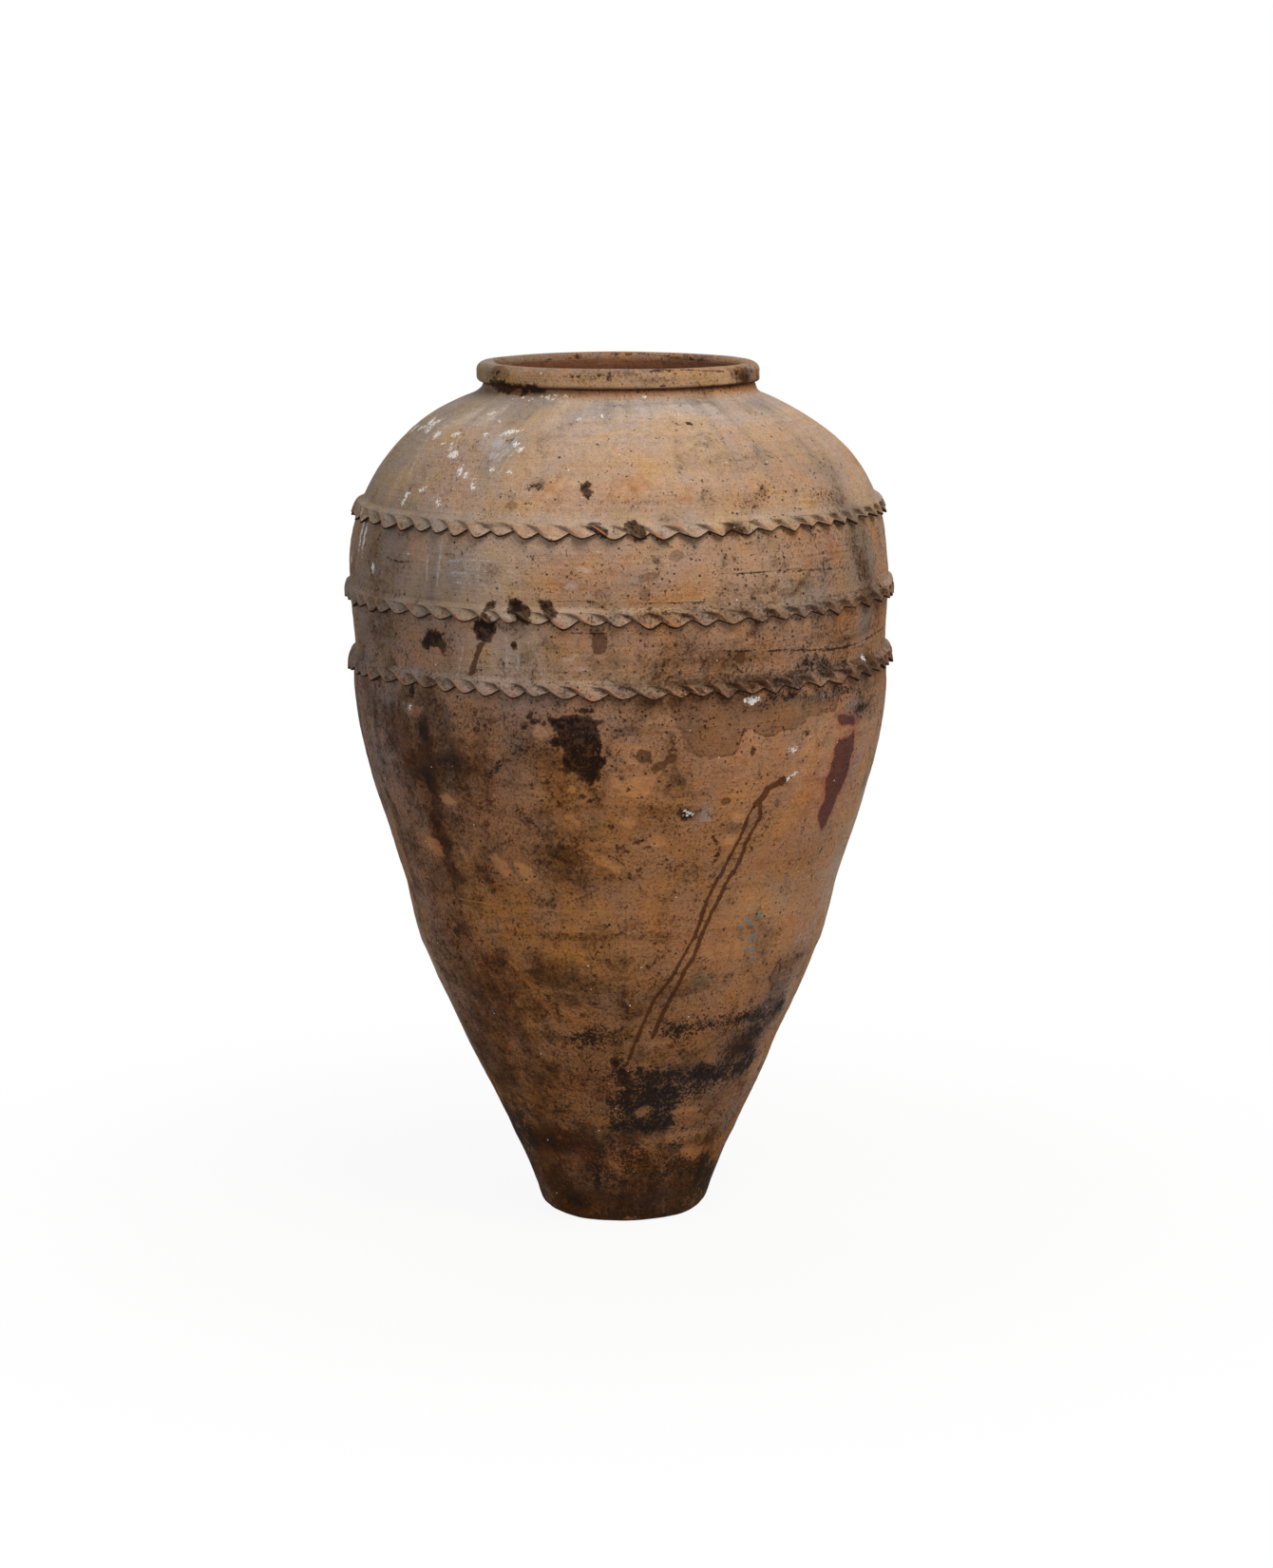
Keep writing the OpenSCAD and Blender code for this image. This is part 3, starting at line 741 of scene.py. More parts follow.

# %% [markdown]
# ## Hard marks
# Tar, soot, a red stain, brown washes and their tide lines, thin dark lines, strokes of chalk, dried runs of
# oil, chips of bare clay, drops of lime, white grains with painted glints on the tar and on the head of an
# oil run, and a few flecks of blue paint, traced from the neck down. Each kind has outlines, ovals and lines.

# %% List the hard marks
HARD = {
    # each kind has outlines by pixels, then ovals by a pixel, half width, half height and tilt, then lines
    # by half width and pixels
    "tar": (
        ["517,400 526,400 533,404 542,406 540,412 530,413 523,411 518,406",
         "543,406 552,407 556,415 547,417", "553,404 562,405 574,410 574,415 563,414 556,410",
         "619,506 623,510 620,512 623,518 620,526 618,521 613,519 609,515 613,510",
         "622,551 632,552 639,558 639,565 634,566 628,560 622,556",
         "657,550 668,549 676,554 679,564 677,570 670,570 665,562 659,556",
         "450,661 456,666 463,664 465,673 470,679 466,688 461,681 453,680 450,683 444,682 444,676 449,668",
         "511,644 518,647 522,655 520,666 516,673 511,677 503,671 498,662 498,656 507,651",
         "513,636 523,632 522,638 516,641 512,645",
         "537,632 549,631 557,640 560,649 560,655 553,656 546,649 538,644",
         "566,632 579,630 583,640 587,645 581,651 583,658 577,651 570,642",
         "576,757 588,755 602,753 619,752 624,758 633,758 629,765 632,774 634,786 631,792 638,802 "
         "633,810 631,819 623,822 610,821 612,814 596,813 593,803 594,793 591,785 582,786 576,781 "
         "588,776 583,767"],
        [(647, 1117, 7, 6, 20), (660, 1150, 5, 8, 0), (614.5, 748.5, 5.5, 2.6, 0), (557, 753, 2.6, 4, -20),
         (560, 759, 4.5, 3, 20), (552, 765, 3, 2, 0), (566, 759, 2, 1.6, 0), (433, 728, 5.5, 4.8, 0),
         (541, 680, 2, 2.8, 0), (656, 1132, 7, 14, 8), (481, 981, 6, 6, 0), (721, 858, 7, 6, -20),
         (654.5, 820, 1.8, 1.6, 0), (662, 830, 2.6, 1.5, 25), (504, 766, 3.2, 5, -30), (793, 790, 2.4, 3, 0),
         (573, 762, 2.6, 2, 0), (614, 838, 2.6, 2, 0), (621, 843, 2.6, 2, 0), (850, 772, 2.8, 2, 0)],
        [(1.0, "751,881 754,888 757,895 755,903 751,908"), (1.0, "714,447 728,446")]),
    "soot": (
        ["656,1115 671,1120 699,1128 726,1123 749,1121 767,1116 782,1116 787,1105 796,1096 800,1110 "
         "787,1128 766,1135 749,1143 736,1150 723,1156 714,1164 706,1171 719,1186 700,1188 678,1193 "
         "655,1191 639,1188 640,1178 655,1166 638,1160 656,1151 655,1136 642,1121",
         "700,1084 716,1077 736,1075 770,1069 815,1059 830,1045 826,1060 812,1072 790,1077 760,1081 "
         "735,1087 726,1099 718,1098 712,1091", "541,1167 552,1172 560,1190 566,1206 556,1207 548,1190",
         "735,1216 745,1212 752,1225 748,1246 735,1262 720,1262 730,1240"],
        [(624, 1092, 25, 14, 10), (645, 1089, 10, 6, 0), (886, 728, 22, 3, 0), (826, 734, 14, 4, 0),
         (472, 799, 7, 5, 0), (446, 768, 6, 9, 0), (450, 823, 5, 9, 0), (523, 807, 4, 4, 0),
         (544, 784, 4, 5, 0), (722, 857, 7, 6, -30), (655, 1132, 7, 14, 0), (797, 393, 4, 6, 0),
         (567, 510, 5, 3, 0), (906, 745, 12, 5, 0), (578, 1201, 17, 11, -20), (606, 1262, 16, 7, 0),
         (562, 1196, 6, 9, 0), (645, 1203, 5, 4, 0), (655, 1214, 6, 5, 20), (668, 1205, 6, 3, 0),
         (676, 1222, 7, 4, 0), (660, 1232, 6, 4, 0), (690, 1234, 8, 4, 0), (706, 1230, 9, 5, 10),
         (722, 1234, 9, 6, 0), (739, 1229, 7, 7, 0), (632, 1212, 4, 9, 0), (630, 1236, 4, 10, 0),
         (700, 1206, 4, 2, 0), (716, 1199, 6, 2, 20), (640, 1242, 8, 3, 0), (800, 1085, 12, 8, 0),
         (790, 1116, 12, 8, 0)],
        [(1.8, "849,700 868,699 890,697"), (1.6, "796,521 803,512"), (0.9, "700,1205 716,1203"),
         (1.0, "655,1217 670,1226 690,1228")]),
    "red": (
        ["883,778 895,773 899,766 898,789 895,798 892,815 887,828 882,838 878,849 874,858 870,867 "
         "865,875 862,867 861,858 863,850 868,844 869,833 869,822 873,813 876,802 878,794 877,789",
         "881,754 884,751 899,754 900,761 897,764 892,762 885,763 882,760"],
        [],
        []),
    "wash": (
        ["518,401 540,402 566,406 576,411 570,416 550,417 530,413 519,409",
         "519,386 530,385 536,391 535,398 525,399 518,394", "440,752 452,740 453,800 447,806 443,785",
         "758,563 764,553 770,550 777,551 782,556 787,563 775,566",
         "556,1192 575,1184 600,1190 612,1198 596,1206 584,1218 570,1226 560,1212",
         "600,1252 640,1250 640,1272 590,1275 585,1262", "766,388 780,387 797,388 798,400 786,401 770,399",
         "655,391 668,391 671,396 658,397",
         "700,735 740,731 778,732 816,731 855,732 882,736 880,745 875,748 864,749 859,754 851,753 "
         "848,760 837,767 822,769 813,775 800,773 792,767 784,767 780,778 778,787 772,794 759,796 "
         "746,798 735,797 722,790 716,770 706,752"],
        [(677.5, 796, 8.5, 8, 0), (694, 806, 10, 5, 30), (707, 798, 6.5, 5.5, 0), (711, 814, 5, 14, 12),
         (631, 678, 9, 12, 0), (629, 666, 3.5, 5, 0), (779, 692, 7, 7, 0), (791, 667, 4, 3, -30),
         (712, 585, 9, 6, 0), (681, 608, 11, 5, 10), (679, 626, 7, 7, 0), (568, 510, 7, 4, 0),
         (815, 806, 3, 2.6, 0), (764, 843, 6, 4.5, 0), (655, 1029, 16, 4, 0), (690, 590, 4, 3, 0),
         (538, 532, 8, 5, 0)],
        [(3.2, "852,602 844,614 836,625"), (1.4, "686,584 697,595"),
         (1.0, "542,460 535,469 522,477 518,484 512,487")]),
    "tide": (
        [],
        [(677.5, 796, 8.5, 8, 0), (694, 806, 10, 5, 30), (707, 798, 6.5, 5.5, 0), (779, 692, 7, 7, 0),
         (631, 678, 9, 12, 0), (764, 843, 6, 4.5, 0)],
        [(1.2, "882,736 880,745 875,748 864,749 859,754 851,753 848,760 837,767 822,769 813,775 800,773 "
               "792,767 784,767 780,778 778,787 772,794 759,796 746,798 735,797 728,786 722,775")]),
    "line": (
        [],
        [(603, 396, 3.4, 1.6, 20), (632, 395, 2.6, 1.2, 0), (642, 395, 2, 4, 0), (775.5, 392.5, 3, 2, 0),
         (694, 391, 4, 1.2, 0), (704, 391, 2, 1.2, 0), (524, 392, 4, 2, 20), (520, 397, 3, 1.2, 0),
         (790, 391, 3, 2, 0), (786, 396, 2, 3, 0), (671, 413, 2, 1, 0), (698, 406, 5, 1.4, 0)],
        [(0.8, "684,391 697,389 710,390"), (0.8, "717,389 740,390 763,391"),
         (0.8, "594,397 601,394 610,397"), (0.7, "640,399 640,392 643,391 644,399"),
         (0.9, "629,394 635,395"), (1.2, "773,389 776,392"),
         (1.2, "762,685 800,685 840,684 870,684 890,681 905,676 918,669 930,660"),
         (0.6, "660,634 700,635 742,634"), (0.7, "763,603 807,602 851,600 895,597"),
         (0.7, "585,633 612,633 640,634"), (0.7, "600,666 622,667 640,667"),
         (0.8, "402,578 408,587 420,591 434,591"), (0.7, "752,582 753,605"),
         (0.7, "845,699 868,698 892,695")]),
    "chalk": (
        [],
        [(598, 695, 7, 2.5, 0), (606, 690, 3, 2, 0), (612, 703, 6, 2, 0), (524, 466, 5, 9, 20),
         (534, 472, 6, 8, 0), (520, 480, 5, 6, 0), (601, 617, 7, 3, 0), (614, 600, 7, 2, 0),
         (545, 703, 3, 5, 0)],
        [(1.1, "467,566 463,590 459,618"), (0.9, "451,585 449,612"), (1.0, "504,585 503,612"),
         (0.8, "472,590 500,589 525,590"), (0.8, "478,613 505,615 528,617"), (0.8, "470,602 490,603"),
         (1.2, "555,675 563,685 568,698 570,710"), (1.1, "533,668 534,685 533,706"),
         (0.9, "545,690 546,708"), (0.9, "487,680 484,700 482,710"), (0.8, "527,664 533,672"),
         (0.8, "545,560 580,565 620,569"), (0.9, "452,452 462,440"), (0.8, "466,455 474,444"),
         (0.9, "520,440 532,430"), (0.8, "528,436 538,426"), (0.9, "505,447 515,438"),
         (0.9, "536,470 548,458"), (1.0, "515,500 530,478"), (1.0, "525,498 540,476"),
         (0.9, "440,480 452,462"), (0.9, "430,500 440,482"), (0.9, "428,520 450,512"),
         (0.9, "455,525 470,515"), (0.8, "480,470 486,458"), (0.8, "496,508 500,500"),
         (0.8, "556,416 570,412")]),
    "run": (
        ["504,675 510,677 503,695 499,710 493,711 496,699"],
        [(823, 822, 6.2, 6, 0), (658, 896, 6, 1.8, 0), (675, 885, 7, 1.8, 0), (681, 892, 4, 2, 0),
         (670, 887, 3, 1.6, 20)],
        [(3.4, "817,826 809,829"), (4.6, "808,830 804,837 800,842 796,846"),
         (2.2, "794,848 788,858 780,879 767,903 761,916 753,930 746,944 742,956 738,970 732,986 725,997 "
               "717,1011 708,1027 698,1041 690,1050 678,1075 668,1098 660,1120"),
         (2.6, "800,847 800,861 791,876 784,889 780,902 773,916 764,930 757,947 752,956 746,970 740,982 "
               "736,993 731,1007 721,1021 715,1035 707,1049 700,1063 692,1080 687,1092")]),
    "bare": (
        ["461,838 467,833 483,843 479,849 468,849",
         "616,894 627,900 638,900 644,908 655,913 651,920 640,914 631,911",
         "652,866 659,860 671,862 670,870 663,875 655,870",
         "680,886 684,880 694,879 702,882 703,887 693,891", "595,859 603,857 609,865 610,870 603,866",
         "541,905 552,907 561,914 566,928 556,930 546,918",
         "516,900 524,899 534,909 541,921 533,922 523,912",
         "448,880 456,882 466,893 467,902 457,899 449,889", "484,892 490,894 494,906 489,905",
         "759,882 766,875 776,881 770,892 761,889", "768,855 777,854 785,860 783,867 773,865",
         "667,1171 673,1166 682,1163 689,1168 681,1171 674,1177",
         "643,815 655,822 668,818 690,815 686,835 670,842 655,838 645,830"],
        [(602, 830, 6, 4.5, 0), (770.5, 668.5, 11, 2.6, 15), (781.5, 678.5, 9, 3.4, 20),
         (665, 1282, 7, 3, 0), (604, 771, 9, 1.6, 0), (569, 771, 8, 8, 0), (796, 514, 5, 4, 0)],
        [(0.5, "533,1006 548,1022 562,1042 576,1060")]),
    "lime": (
        ["783,738 787,734 794,732 801,734 801,737 796,738 791,742 787,741"],
        [(460, 445, 11, 3.6, 40), (453.5, 453, 4.5, 4, 0), (462, 457.5, 4.5, 6, 20), (482, 457, 5, 3.6, 20),
         (468, 466, 2, 2, 0), (478, 478, 6, 5, 0), (485, 495, 3.6, 6, 15), (498, 510, 1.6, 4, 15),
         (538.5, 454.5, 9, 3.6, 25), (544, 467.5, 3.2, 4, 0), (547.5, 473, 3, 3, 0),
         (520, 434.5, 3.4, 1.8, 40), (512, 457, 2, 1.8, 0), (461, 529, 3.6, 4, 0), (428, 520, 3, 3, 0),
         (424, 528, 3, 4, 0), (535, 497, 2, 2, 0), (517, 494, 1.8, 2, 0), (608, 441, 2.6, 2, 0),
         (634, 438, 2, 2, 0), (576, 418, 1.8, 1.2, 0), (581, 420, 1.2, 1, 0), (594, 417, 1.6, 1.2, 0),
         (678, 418, 1.2, 1, 0), (835, 789, 4, 3, 0), (385, 562, 3, 16, 0), (393, 598, 3, 4, 0),
         (431.5, 744, 3, 3, 0), (908, 692, 3, 3, 0), (724, 856, 3, 2, 0), (456, 449, 5, 2.4, 40),
         (476, 470, 2, 4, 20), (490, 500, 2, 3, 10), (444, 515, 3, 2, 30), (551, 418, 1.4, 1, 0),
         (560, 420, 1.4, 1, 0), (570, 416, 1.2, 1, 0), (586, 416, 1.4, 1, 0), (528, 443, 1.4, 1.2, 0)],
        [(1.2, "829,819 839,812")]),
    # white grains, with painted glints on the tar and a painted highlight on the head of an oil run
    "spark": (
        [],
        [(455.5, 793, 0.9, 0.9, 0), (454, 807, 0.9, 0.9, 0), (477, 806, 1.1, 1.1, 0),
         (507, 791, 1.1, 1.1, 0), (440, 836, 1.2, 1.2, 0), (557, 854, 0.8, 0.8, 0), (656, 1135, 1, 1, 0),
         (661, 1127, 1, 1, 0), (659, 1146, 1.2, 1, 0), (648, 1167, 1.3, 1.2, 0),
         (645.5, 1012.5, 1.2, 1.2, 0), (619.6, 1015.8, 1, 1, 0), (675, 1018, 1.8, 0.8, -30),
         (822.5, 819, 1.3, 1.2, 0), (715, 851, 1.2, 1, 0), (721, 853, 2.4, 1.2, 20), (726, 856, 1.8, 1, 0),
         (743, 845, 1.2, 1, 0)],
        []),
    "blue": (
        [],
        [(787, 968, 2.8, 2.6, 0), (790, 971, 3.2, 3, -40), (794.5, 972.5, 2.6, 1.6, 0),
         (801, 963.5, 3.4, 3, 0), (780.5, 975.5, 3, 2, 0), (782, 984.5, 2.8, 1.6, 0),
         (792.5, 985, 4, 3.4, 20), (789.5, 990, 2.4, 3, 0), (788, 999, 3.2, 1.8, 0),
         (792.5, 1000.5, 3, 2.6, 0), (793.5, 1007.5, 3, 2.2, 0), (791.5, 951, 1.8, 1.6, 0)],
        []),
}
print({name: sum(len(part) for part in parts) for name, parts in HARD.items()})

# %% [markdown]
# ## Soft films
# Umber is the brown film of oil and handling, ash the grey one of smoke and mould, pale the sandy film of
# lime and dust, and bloom its whitest part. Flake says where the brown has flaked off, drip where water ran,
# warm how warm the tint is, crust where black growth sits at the foot, rust where the clay is redder, and
# pits where the skin is pricked with small dark holes.

# %% List the soft films
SOFT = {
    # clouds by a pixel, half width and half height in millimetres, and amount
    "umber": [
        (640, 1262, 70, 14, 0.06), (708, 1244, 36, 14, 0.1), (457, 872, 11, 44, 0.24),
        (430, 490, 30, 40, 0.06), (580, 1194, 34, 11, 0.2), (622, 1206, 10, 22, 0.15),
        (460, 485, 70, 50, 0.09), (909, 600, 15, 30, 0.22), (901, 575, 8, 22, 0.18),
        (518, 392, 16, 10, 0.25), (630, 600, 60, 40, 0.05), (540, 940, 50, 50, 0.05),
        (452, 735, 18, 24, 0.12), (452, 800, 13, 60, 0.2), (460, 860, 24, 80, 0.2), (473, 905, 18, 45, 0.12),
        (484, 815, 16, 24, 0.12), (428, 790, 26, 50, 0.1), (410, 745, 60, 40, 0.12),
        (482, 800, 26, 20, 0.18), (508, 815, 20, 40, 0.13), (600, 960, 90, 14, 0.06),
        (520, 1030, 45, 40, 0.21), (575, 1020, 32, 18, 0.15), (600, 1052, 30, 10, 0.04),
        (510, 1090, 40, 45, 0.21), (535, 1150, 34, 40, 0.1), (590, 1200, 50, 16, 0.16),
        (578, 1200, 26, 14, 0.2), (700, 742, 50, 10, 0.15), (660, 760, 20, 10, 0.15),
        (790, 745, 40, 12, 0.12), (620, 930, 50, 16, 0.12), (580, 900, 40, 24, 0.07),
        (690, 855, 40, 16, 0.07), (720, 915, 30, 16, 0.09), (830, 905, 60, 22, 0.18),
        (835, 1010, 30, 18, 0.16), (820, 1045, 26, 30, 0.12), (785, 1100, 26, 26, 0.45),
        (560, 860, 30, 14, 0.06), (700, 700, 30, 16, 0.12), (760, 700, 26, 16, 0.15),
        (880, 660, 50, 22, 0.18), (850, 700, 40, 12, 0.15), (630, 630, 16, 14, 0.12),
        (590, 620, 14, 12, 0.06), (470, 990, 40, 30, 0.12), (690, 1240, 90, 30, 0.06),
        (400, 660, 70, 40, 0.1), (390, 590, 60, 60, 0.15), (875, 590, 60, 40, 0.18), (770, 688, 70, 25, 0.2),
        (435, 795, 30, 60, 0.04), (475, 820, 30, 80, 0.12), (532, 805, 35, 60, 0.1),
        (462, 945, 30, 50, 0.14), (600, 905, 36, 26, 0.2), (620, 986, 80, 5, 0.14), (600, 1060, 50, 6, 0.04),
        (620, 1140, 40, 40, 0.1), (775, 600, 60, 40, 0.07), (785, 770, 50, 40, -0.18),
        (860, 812, 40, 60, -0.38), (722, 1169, 20, 7, -0.25), (718, 1195, 26, 9, -0.3),
        (735, 1212, 24, 10, -0.3), (810, 940, 60, 60, -0.24), (880, 920, 60, 60, -0.25),
        (780, 525, 90, 14, 0.12), (660, 530, 70, 14, 0.14), (865, 500, 60, 45, 0.09),
        (790, 480, 60, 40, 0.05), (915, 580, 30, 45, 0.1), (770, 1045, 40, 36, -0.12),
        (720, 1211, 16, 6, -0.3), (605, 1226, 14, 18, -0.16), (668, 1220, 36, 22, -0.16),
        (772, 558, 11, 7, 0.6), (800, 495, 90, 60, 0.13), (875, 500, 50, 50, 0.1), (660, 530, 100, 18, 0.1),
        (480, 490, 50, 50, 0.1), (515, 682, 45, 25, -0.08), (465, 850, 18, 80, 0.06), (715, 718, 34, 9, 0.3),
        (800, 717, 44, 9, 0.35), (590, 808, 20, 22, 0.2), (520, 540, 26, 14, 0.2), (790, 532, 18, 12, 0.25),
        (870, 525, 34, 12, 0.25), (850, 560, 60, 18, 0.1), (680, 625, 44, 20, 0.1), (820, 645, 70, 8, 0.12),
        (925, 640, 20, 30, 0.25), (910, 690, 24, 14, 0.2), (432, 888, 30, 40, 0.2), (425, 815, 26, 40, 0.14),
        (540, 900, 40, 20, 0.06), (640, 870, 80, 30, 0.05), (710, 790, 12, 20, 0.12),
        (490, 975, 16, 16, 0.2), (545, 1090, 30, 20, 0.08), (625, 1090, 20, 20, 0.12),
        (785, 400, 14, 9, 0.35), (690, 401, 24, 5, 0.2), (540, 402, 26, 6, 0.25), (640, 490, 70, 16, 0.06),
        (565, 1232, 16, 16, 0.15), (742, 1215, 14, 24, 0.15), (800, 605, 50, 12, -0.1),
        (420, 735, 50, 22, -0.22), (440, 775, 22, 22, -0.2), (540, 745, 60, 10, -0.12),
        (520, 815, 14, 30, -0.12), (558, 832, 18, 30, -0.14), (790, 820, 40, 30, -0.08),
        (840, 745, 30, 8, -0.2), (760, 1000, 34, 10, -0.18), (840, 985, 40, 16, -0.16),
        (458, 1015, 30, 60, -0.2), (486, 1085, 30, 50, -0.12), (900, 870, 18, 60, -0.14),
        (690, 1100, 26, 8, -0.15), (680, 1208, 26, 10, -0.2), (720, 1222, 20, 14, -0.12),
        (455, 620, 60, 20, -0.14), (568, 795, 26, 26, 0.2), (480, 490, 44, 34, 0.08),
        (525, 545, 28, 14, 0.08), (925, 575, 20, 40, 0.14), (700, 645, 60, 8, 0.1), (880, 520, 30, 12, 0.1),
        (680, 650, 44, 12, 0.18), (720, 680, 22, 14, 0.14), (885, 690, 22, 20, 0.18),
        (500, 850, 30, 14, 0.08), (455, 870, 16, 20, 0.12), (900, 755, 14, 20, 0.12),
        (820, 820, 14, 10, 0.08), (550, 1035, 16, 16, 0.1), (765, 1080, 14, 12, 0.25),
        (560, 1242, 14, 20, 0.15), (745, 1252, 14, 20, 0.15), (665, 798, 30, 18, -0.16),
        (745, 755, 14, 14, -0.12), (840, 785, 22, 16, -0.12), (800, 1120, 14, 30, -0.2),
        (700, 1242, 18, 12, -0.12), (772, 1000, 40, 8, -0.12), (640, 495, 70, 18, 0.1),
        (480, 520, 60, 34, 0.1), (830, 442, 50, 30, 0.12), (782, 395, 18, 9, 0.5), (650, 396, 40, 6, 0.2),
        (600, 396, 40, 6, 0.1), (720, 396, 30, 6, 0.12), (770, 735, 20, 9, 0.15), (600, 835, 14, 20, 0.12),
        (620, 920, 44, 16, 0.06), (490, 985, 14, 20, 0.1), (690, 1050, 40, 16, 0.08),
        (640, 1090, 20, 14, 0.12), (580, 1240, 14, 24, 0.18), (745, 1200, 10, 14, 0.15),
        (505, 610, 50, 20, -0.08), (562, 678, 14, 24, -0.2), (480, 730, 60, 10, -0.12),
        (845, 655, 20, 16, -0.14), (865, 715, 30, 10, -0.18), (690, 760, 40, 8, -0.12),
        (770, 780, 30, 20, -0.08), (770, 840, 24, 24, -0.08), (690, 945, 60, 30, -0.06),
        (600, 960, 60, 20, -0.06), (760, 675, 24, 14, -0.12), (900, 830, 30, 50, -0.1),
    ],
    "ash": [
        (875, 585, 50, 40, 0.12), (400, 590, 70, 40, 0.5), (425, 545, 60, 20, 0.3), (420, 470, 60, 50, 0.35),
        (400, 640, 60, 26, 0.2), (530, 480, 26, 22, 0.2), (560, 425, 30, 10, 0.4), (545, 440, 16, 12, 0.25),
        (490, 600, 46, 34, 0.28), (490, 690, 60, 30, 0.12), (540, 779, 14, 12, 0.3), (547, 789, 12, 10, 0.2),
        (560, 740, 40, 10, 0.3), (860, 620, 40, 16, 0.3), (910, 590, 40, 40, 0.5), (850, 735, 60, 8, 0.4),
        (895, 745, 40, 16, 0.4), (740, 1032, 14, 12, 0.4), (700, 1050, 24, 10, 0.25),
        (640, 1050, 40, 10, 0.25), (840, 920, 60, 30, 0.25), (400, 760, 60, 60, 0.25),
        (480, 1060, 30, 60, 0.2), (720, 770, 24, 14, 0.2), (885, 540, 50, 14, 0.3), (690, 425, 70, 8, 0.25),
        (800, 425, 40, 10, 0.3), (700, 1270, 80, 20, 0.25), (860, 870, 30, 30, 0.15), (844, 465, 5, 40, 0.3),
        (913, 590, 20, 34, 0.7), (903, 575, 16, 20, 0.5), (913, 651, 24, 22, 0.7), (898, 750, 24, 14, 0.6),
        (830, 720, 60, 8, 0.3), (890, 610, 60, 30, 0.25), (870, 500, 60, 40, 0.32), (800, 490, 80, 60, 0.22),
        (395, 655, 40, 34, 0.2), (600, 392, 60, 8, 0.1), (788, 392, 16, 8, 0.3), (515, 393, 14, 8, 0.35),
    ],
    "pale": [
        (640, 440, 150, 60, 0.2), (520, 478, 26, 36, 0.3), (640, 520, 120, 24, -0.12),
        (800, 500, 90, 60, -0.12), (880, 920, 50, 60, 0.25), (520, 600, 40, 34, 0.3),
        (520, 690, 50, 30, 0.25), (500, 600, 34, 30, 0.2), (462, 600, 6, 30, 0.35), (504, 603, 5, 24, 0.35),
        (566, 698, 4, 16, 0.5), (540, 695, 5, 18, 0.4), (532, 690, 14, 22, 0.2), (610, 575, 60, 12, 0.25),
        (560, 572, 30, 12, 0.2), (590, 735, 30, 8, 0.2), (700, 585, 40, 16, 0.12), (515, 597, 45, 30, 0.2),
        (515, 682, 50, 28, 0.2), (500, 430, 44, 20, 0.2), (440, 450, 34, 34, 0.2), (530, 474, 16, 18, 0.6),
        (650, 427, 110, 12, 0.4), (740, 430, 60, 12, 0.2), (460, 622, 60, 22, 0.45),
        (560, 680, 20, 24, 0.45), (900, 860, 20, 70, 0.6), (450, 1000, 40, 60, 0.2),
        (484, 1080, 40, 50, 0.2), (830, 1050, 16, 34, 0.5), (740, 465, 18, 18, 0.25),
        (530, 470, 18, 22, 0.3), (515, 425, 36, 12, 0.5), (440, 650, 30, 20, 0.15), (420, 735, 50, 20, 0.25),
        (743, 857, 8, 11, 0.9), (760, 550, 90, 8, 0.2), (560, 705, 60, 8, 0.3), (600, 632, 60, 7, 0.2),
    ],
    "bloom": [
        (500, 430, 50, 18, 0.6), (440, 462, 34, 36, 0.35), (470, 442, 34, 22, 0.5), (650, 424, 120, 10, 0.3),
        (525, 425, 34, 12, 0.5), (530, 470, 20, 24, 0.4), (740, 465, 20, 20, 0.3), (715, 430, 60, 12, 0.25),
    ],
    "flake": [
        (510, 910, 60, 26, 0.3), (455, 890, 20, 20, 0.2), (755, 1180, 36, 36, 0.3),
        (640, 1215, 40, 25, 0.12), (735, 1210, 24, 14, 0.45), (605, 1226, 14, 20, 0.25),
        (755, 1150, 30, 30, 0.25), (690, 1200, 30, 12, 0.3), (716, 1206, 30, 12, 0.25),
        (720, 1210, 18, 6, 0.3), (600, 860, 90, 40, 0.08),
    ],
    "drip": [
        (458, 850, 10, 90, 0.25), (460, 850, 16, 90, 0.3), (430, 790, 12, 60, 0.2), (505, 800, 10, 60, 0.15),
        (520, 1060, 30, 60, 0.2),
    ],
    "warm": [
        (430, 470, 60, 50, 0.3), (452, 778, 26, 46, 0.35), (600, 1212, 50, 40, -0.35),
        (430, 740, 60, 40, -0.15), (500, 740, 60, 30, -0.2), (590, 758, 60, 24, -0.5),
        (665, 755, 60, 20, -0.35), (480, 800, 40, 30, -0.3), (525, 820, 30, 30, -0.25),
        (490, 600, 45, 40, -0.25), (870, 570, 18, 16, -0.3), (840, 680, 40, 24, -0.35),
        (612, 675, 18, 14, -0.25), (440, 690, 40, 20, -0.2), (880, 720, 50, 16, -0.45),
        (820, 740, 34, 12, -0.3), (680, 425, 150, 16, -0.25), (535, 470, 18, 26, -0.5),
        (680, 1150, 36, 36, -0.7), (740, 1145, 50, 30, -0.7), (800, 1090, 36, 36, -0.8),
        (700, 1190, 50, 16, -0.6), (820, 1045, 30, 40, -0.5), (840, 1020, 30, 50, -0.3),
        (765, 1180, 26, 30, -0.5), (745, 1010, 40, 30, -0.25), (870, 930, 40, 60, -0.25),
        (465, 985, 20, 50, -0.3), (690, 1262, 40, 10, -0.7), (850, 815, 20, 40, 0.3),
        (600, 830, 30, 40, 0.45), (500, 940, 50, 40, 0.45), (560, 960, 60, 50, 0.25),
        (620, 900, 60, 60, 0.25), (620, 1000, 80, 40, 0.3), (560, 1060, 50, 60, 0.35),
        (640, 1050, 50, 40, 0.15), (690, 890, 60, 60, 0.15), (540, 1150, 50, 50, 0.5),
        (595, 1150, 44, 34, 0.4), (580, 1205, 30, 24, 0.8), (600, 1258, 30, 18, 0.8),
        (672, 1225, 24, 12, 0.5), (735, 1235, 20, 20, 0.5), (640, 485, 90, 18, 0.25),
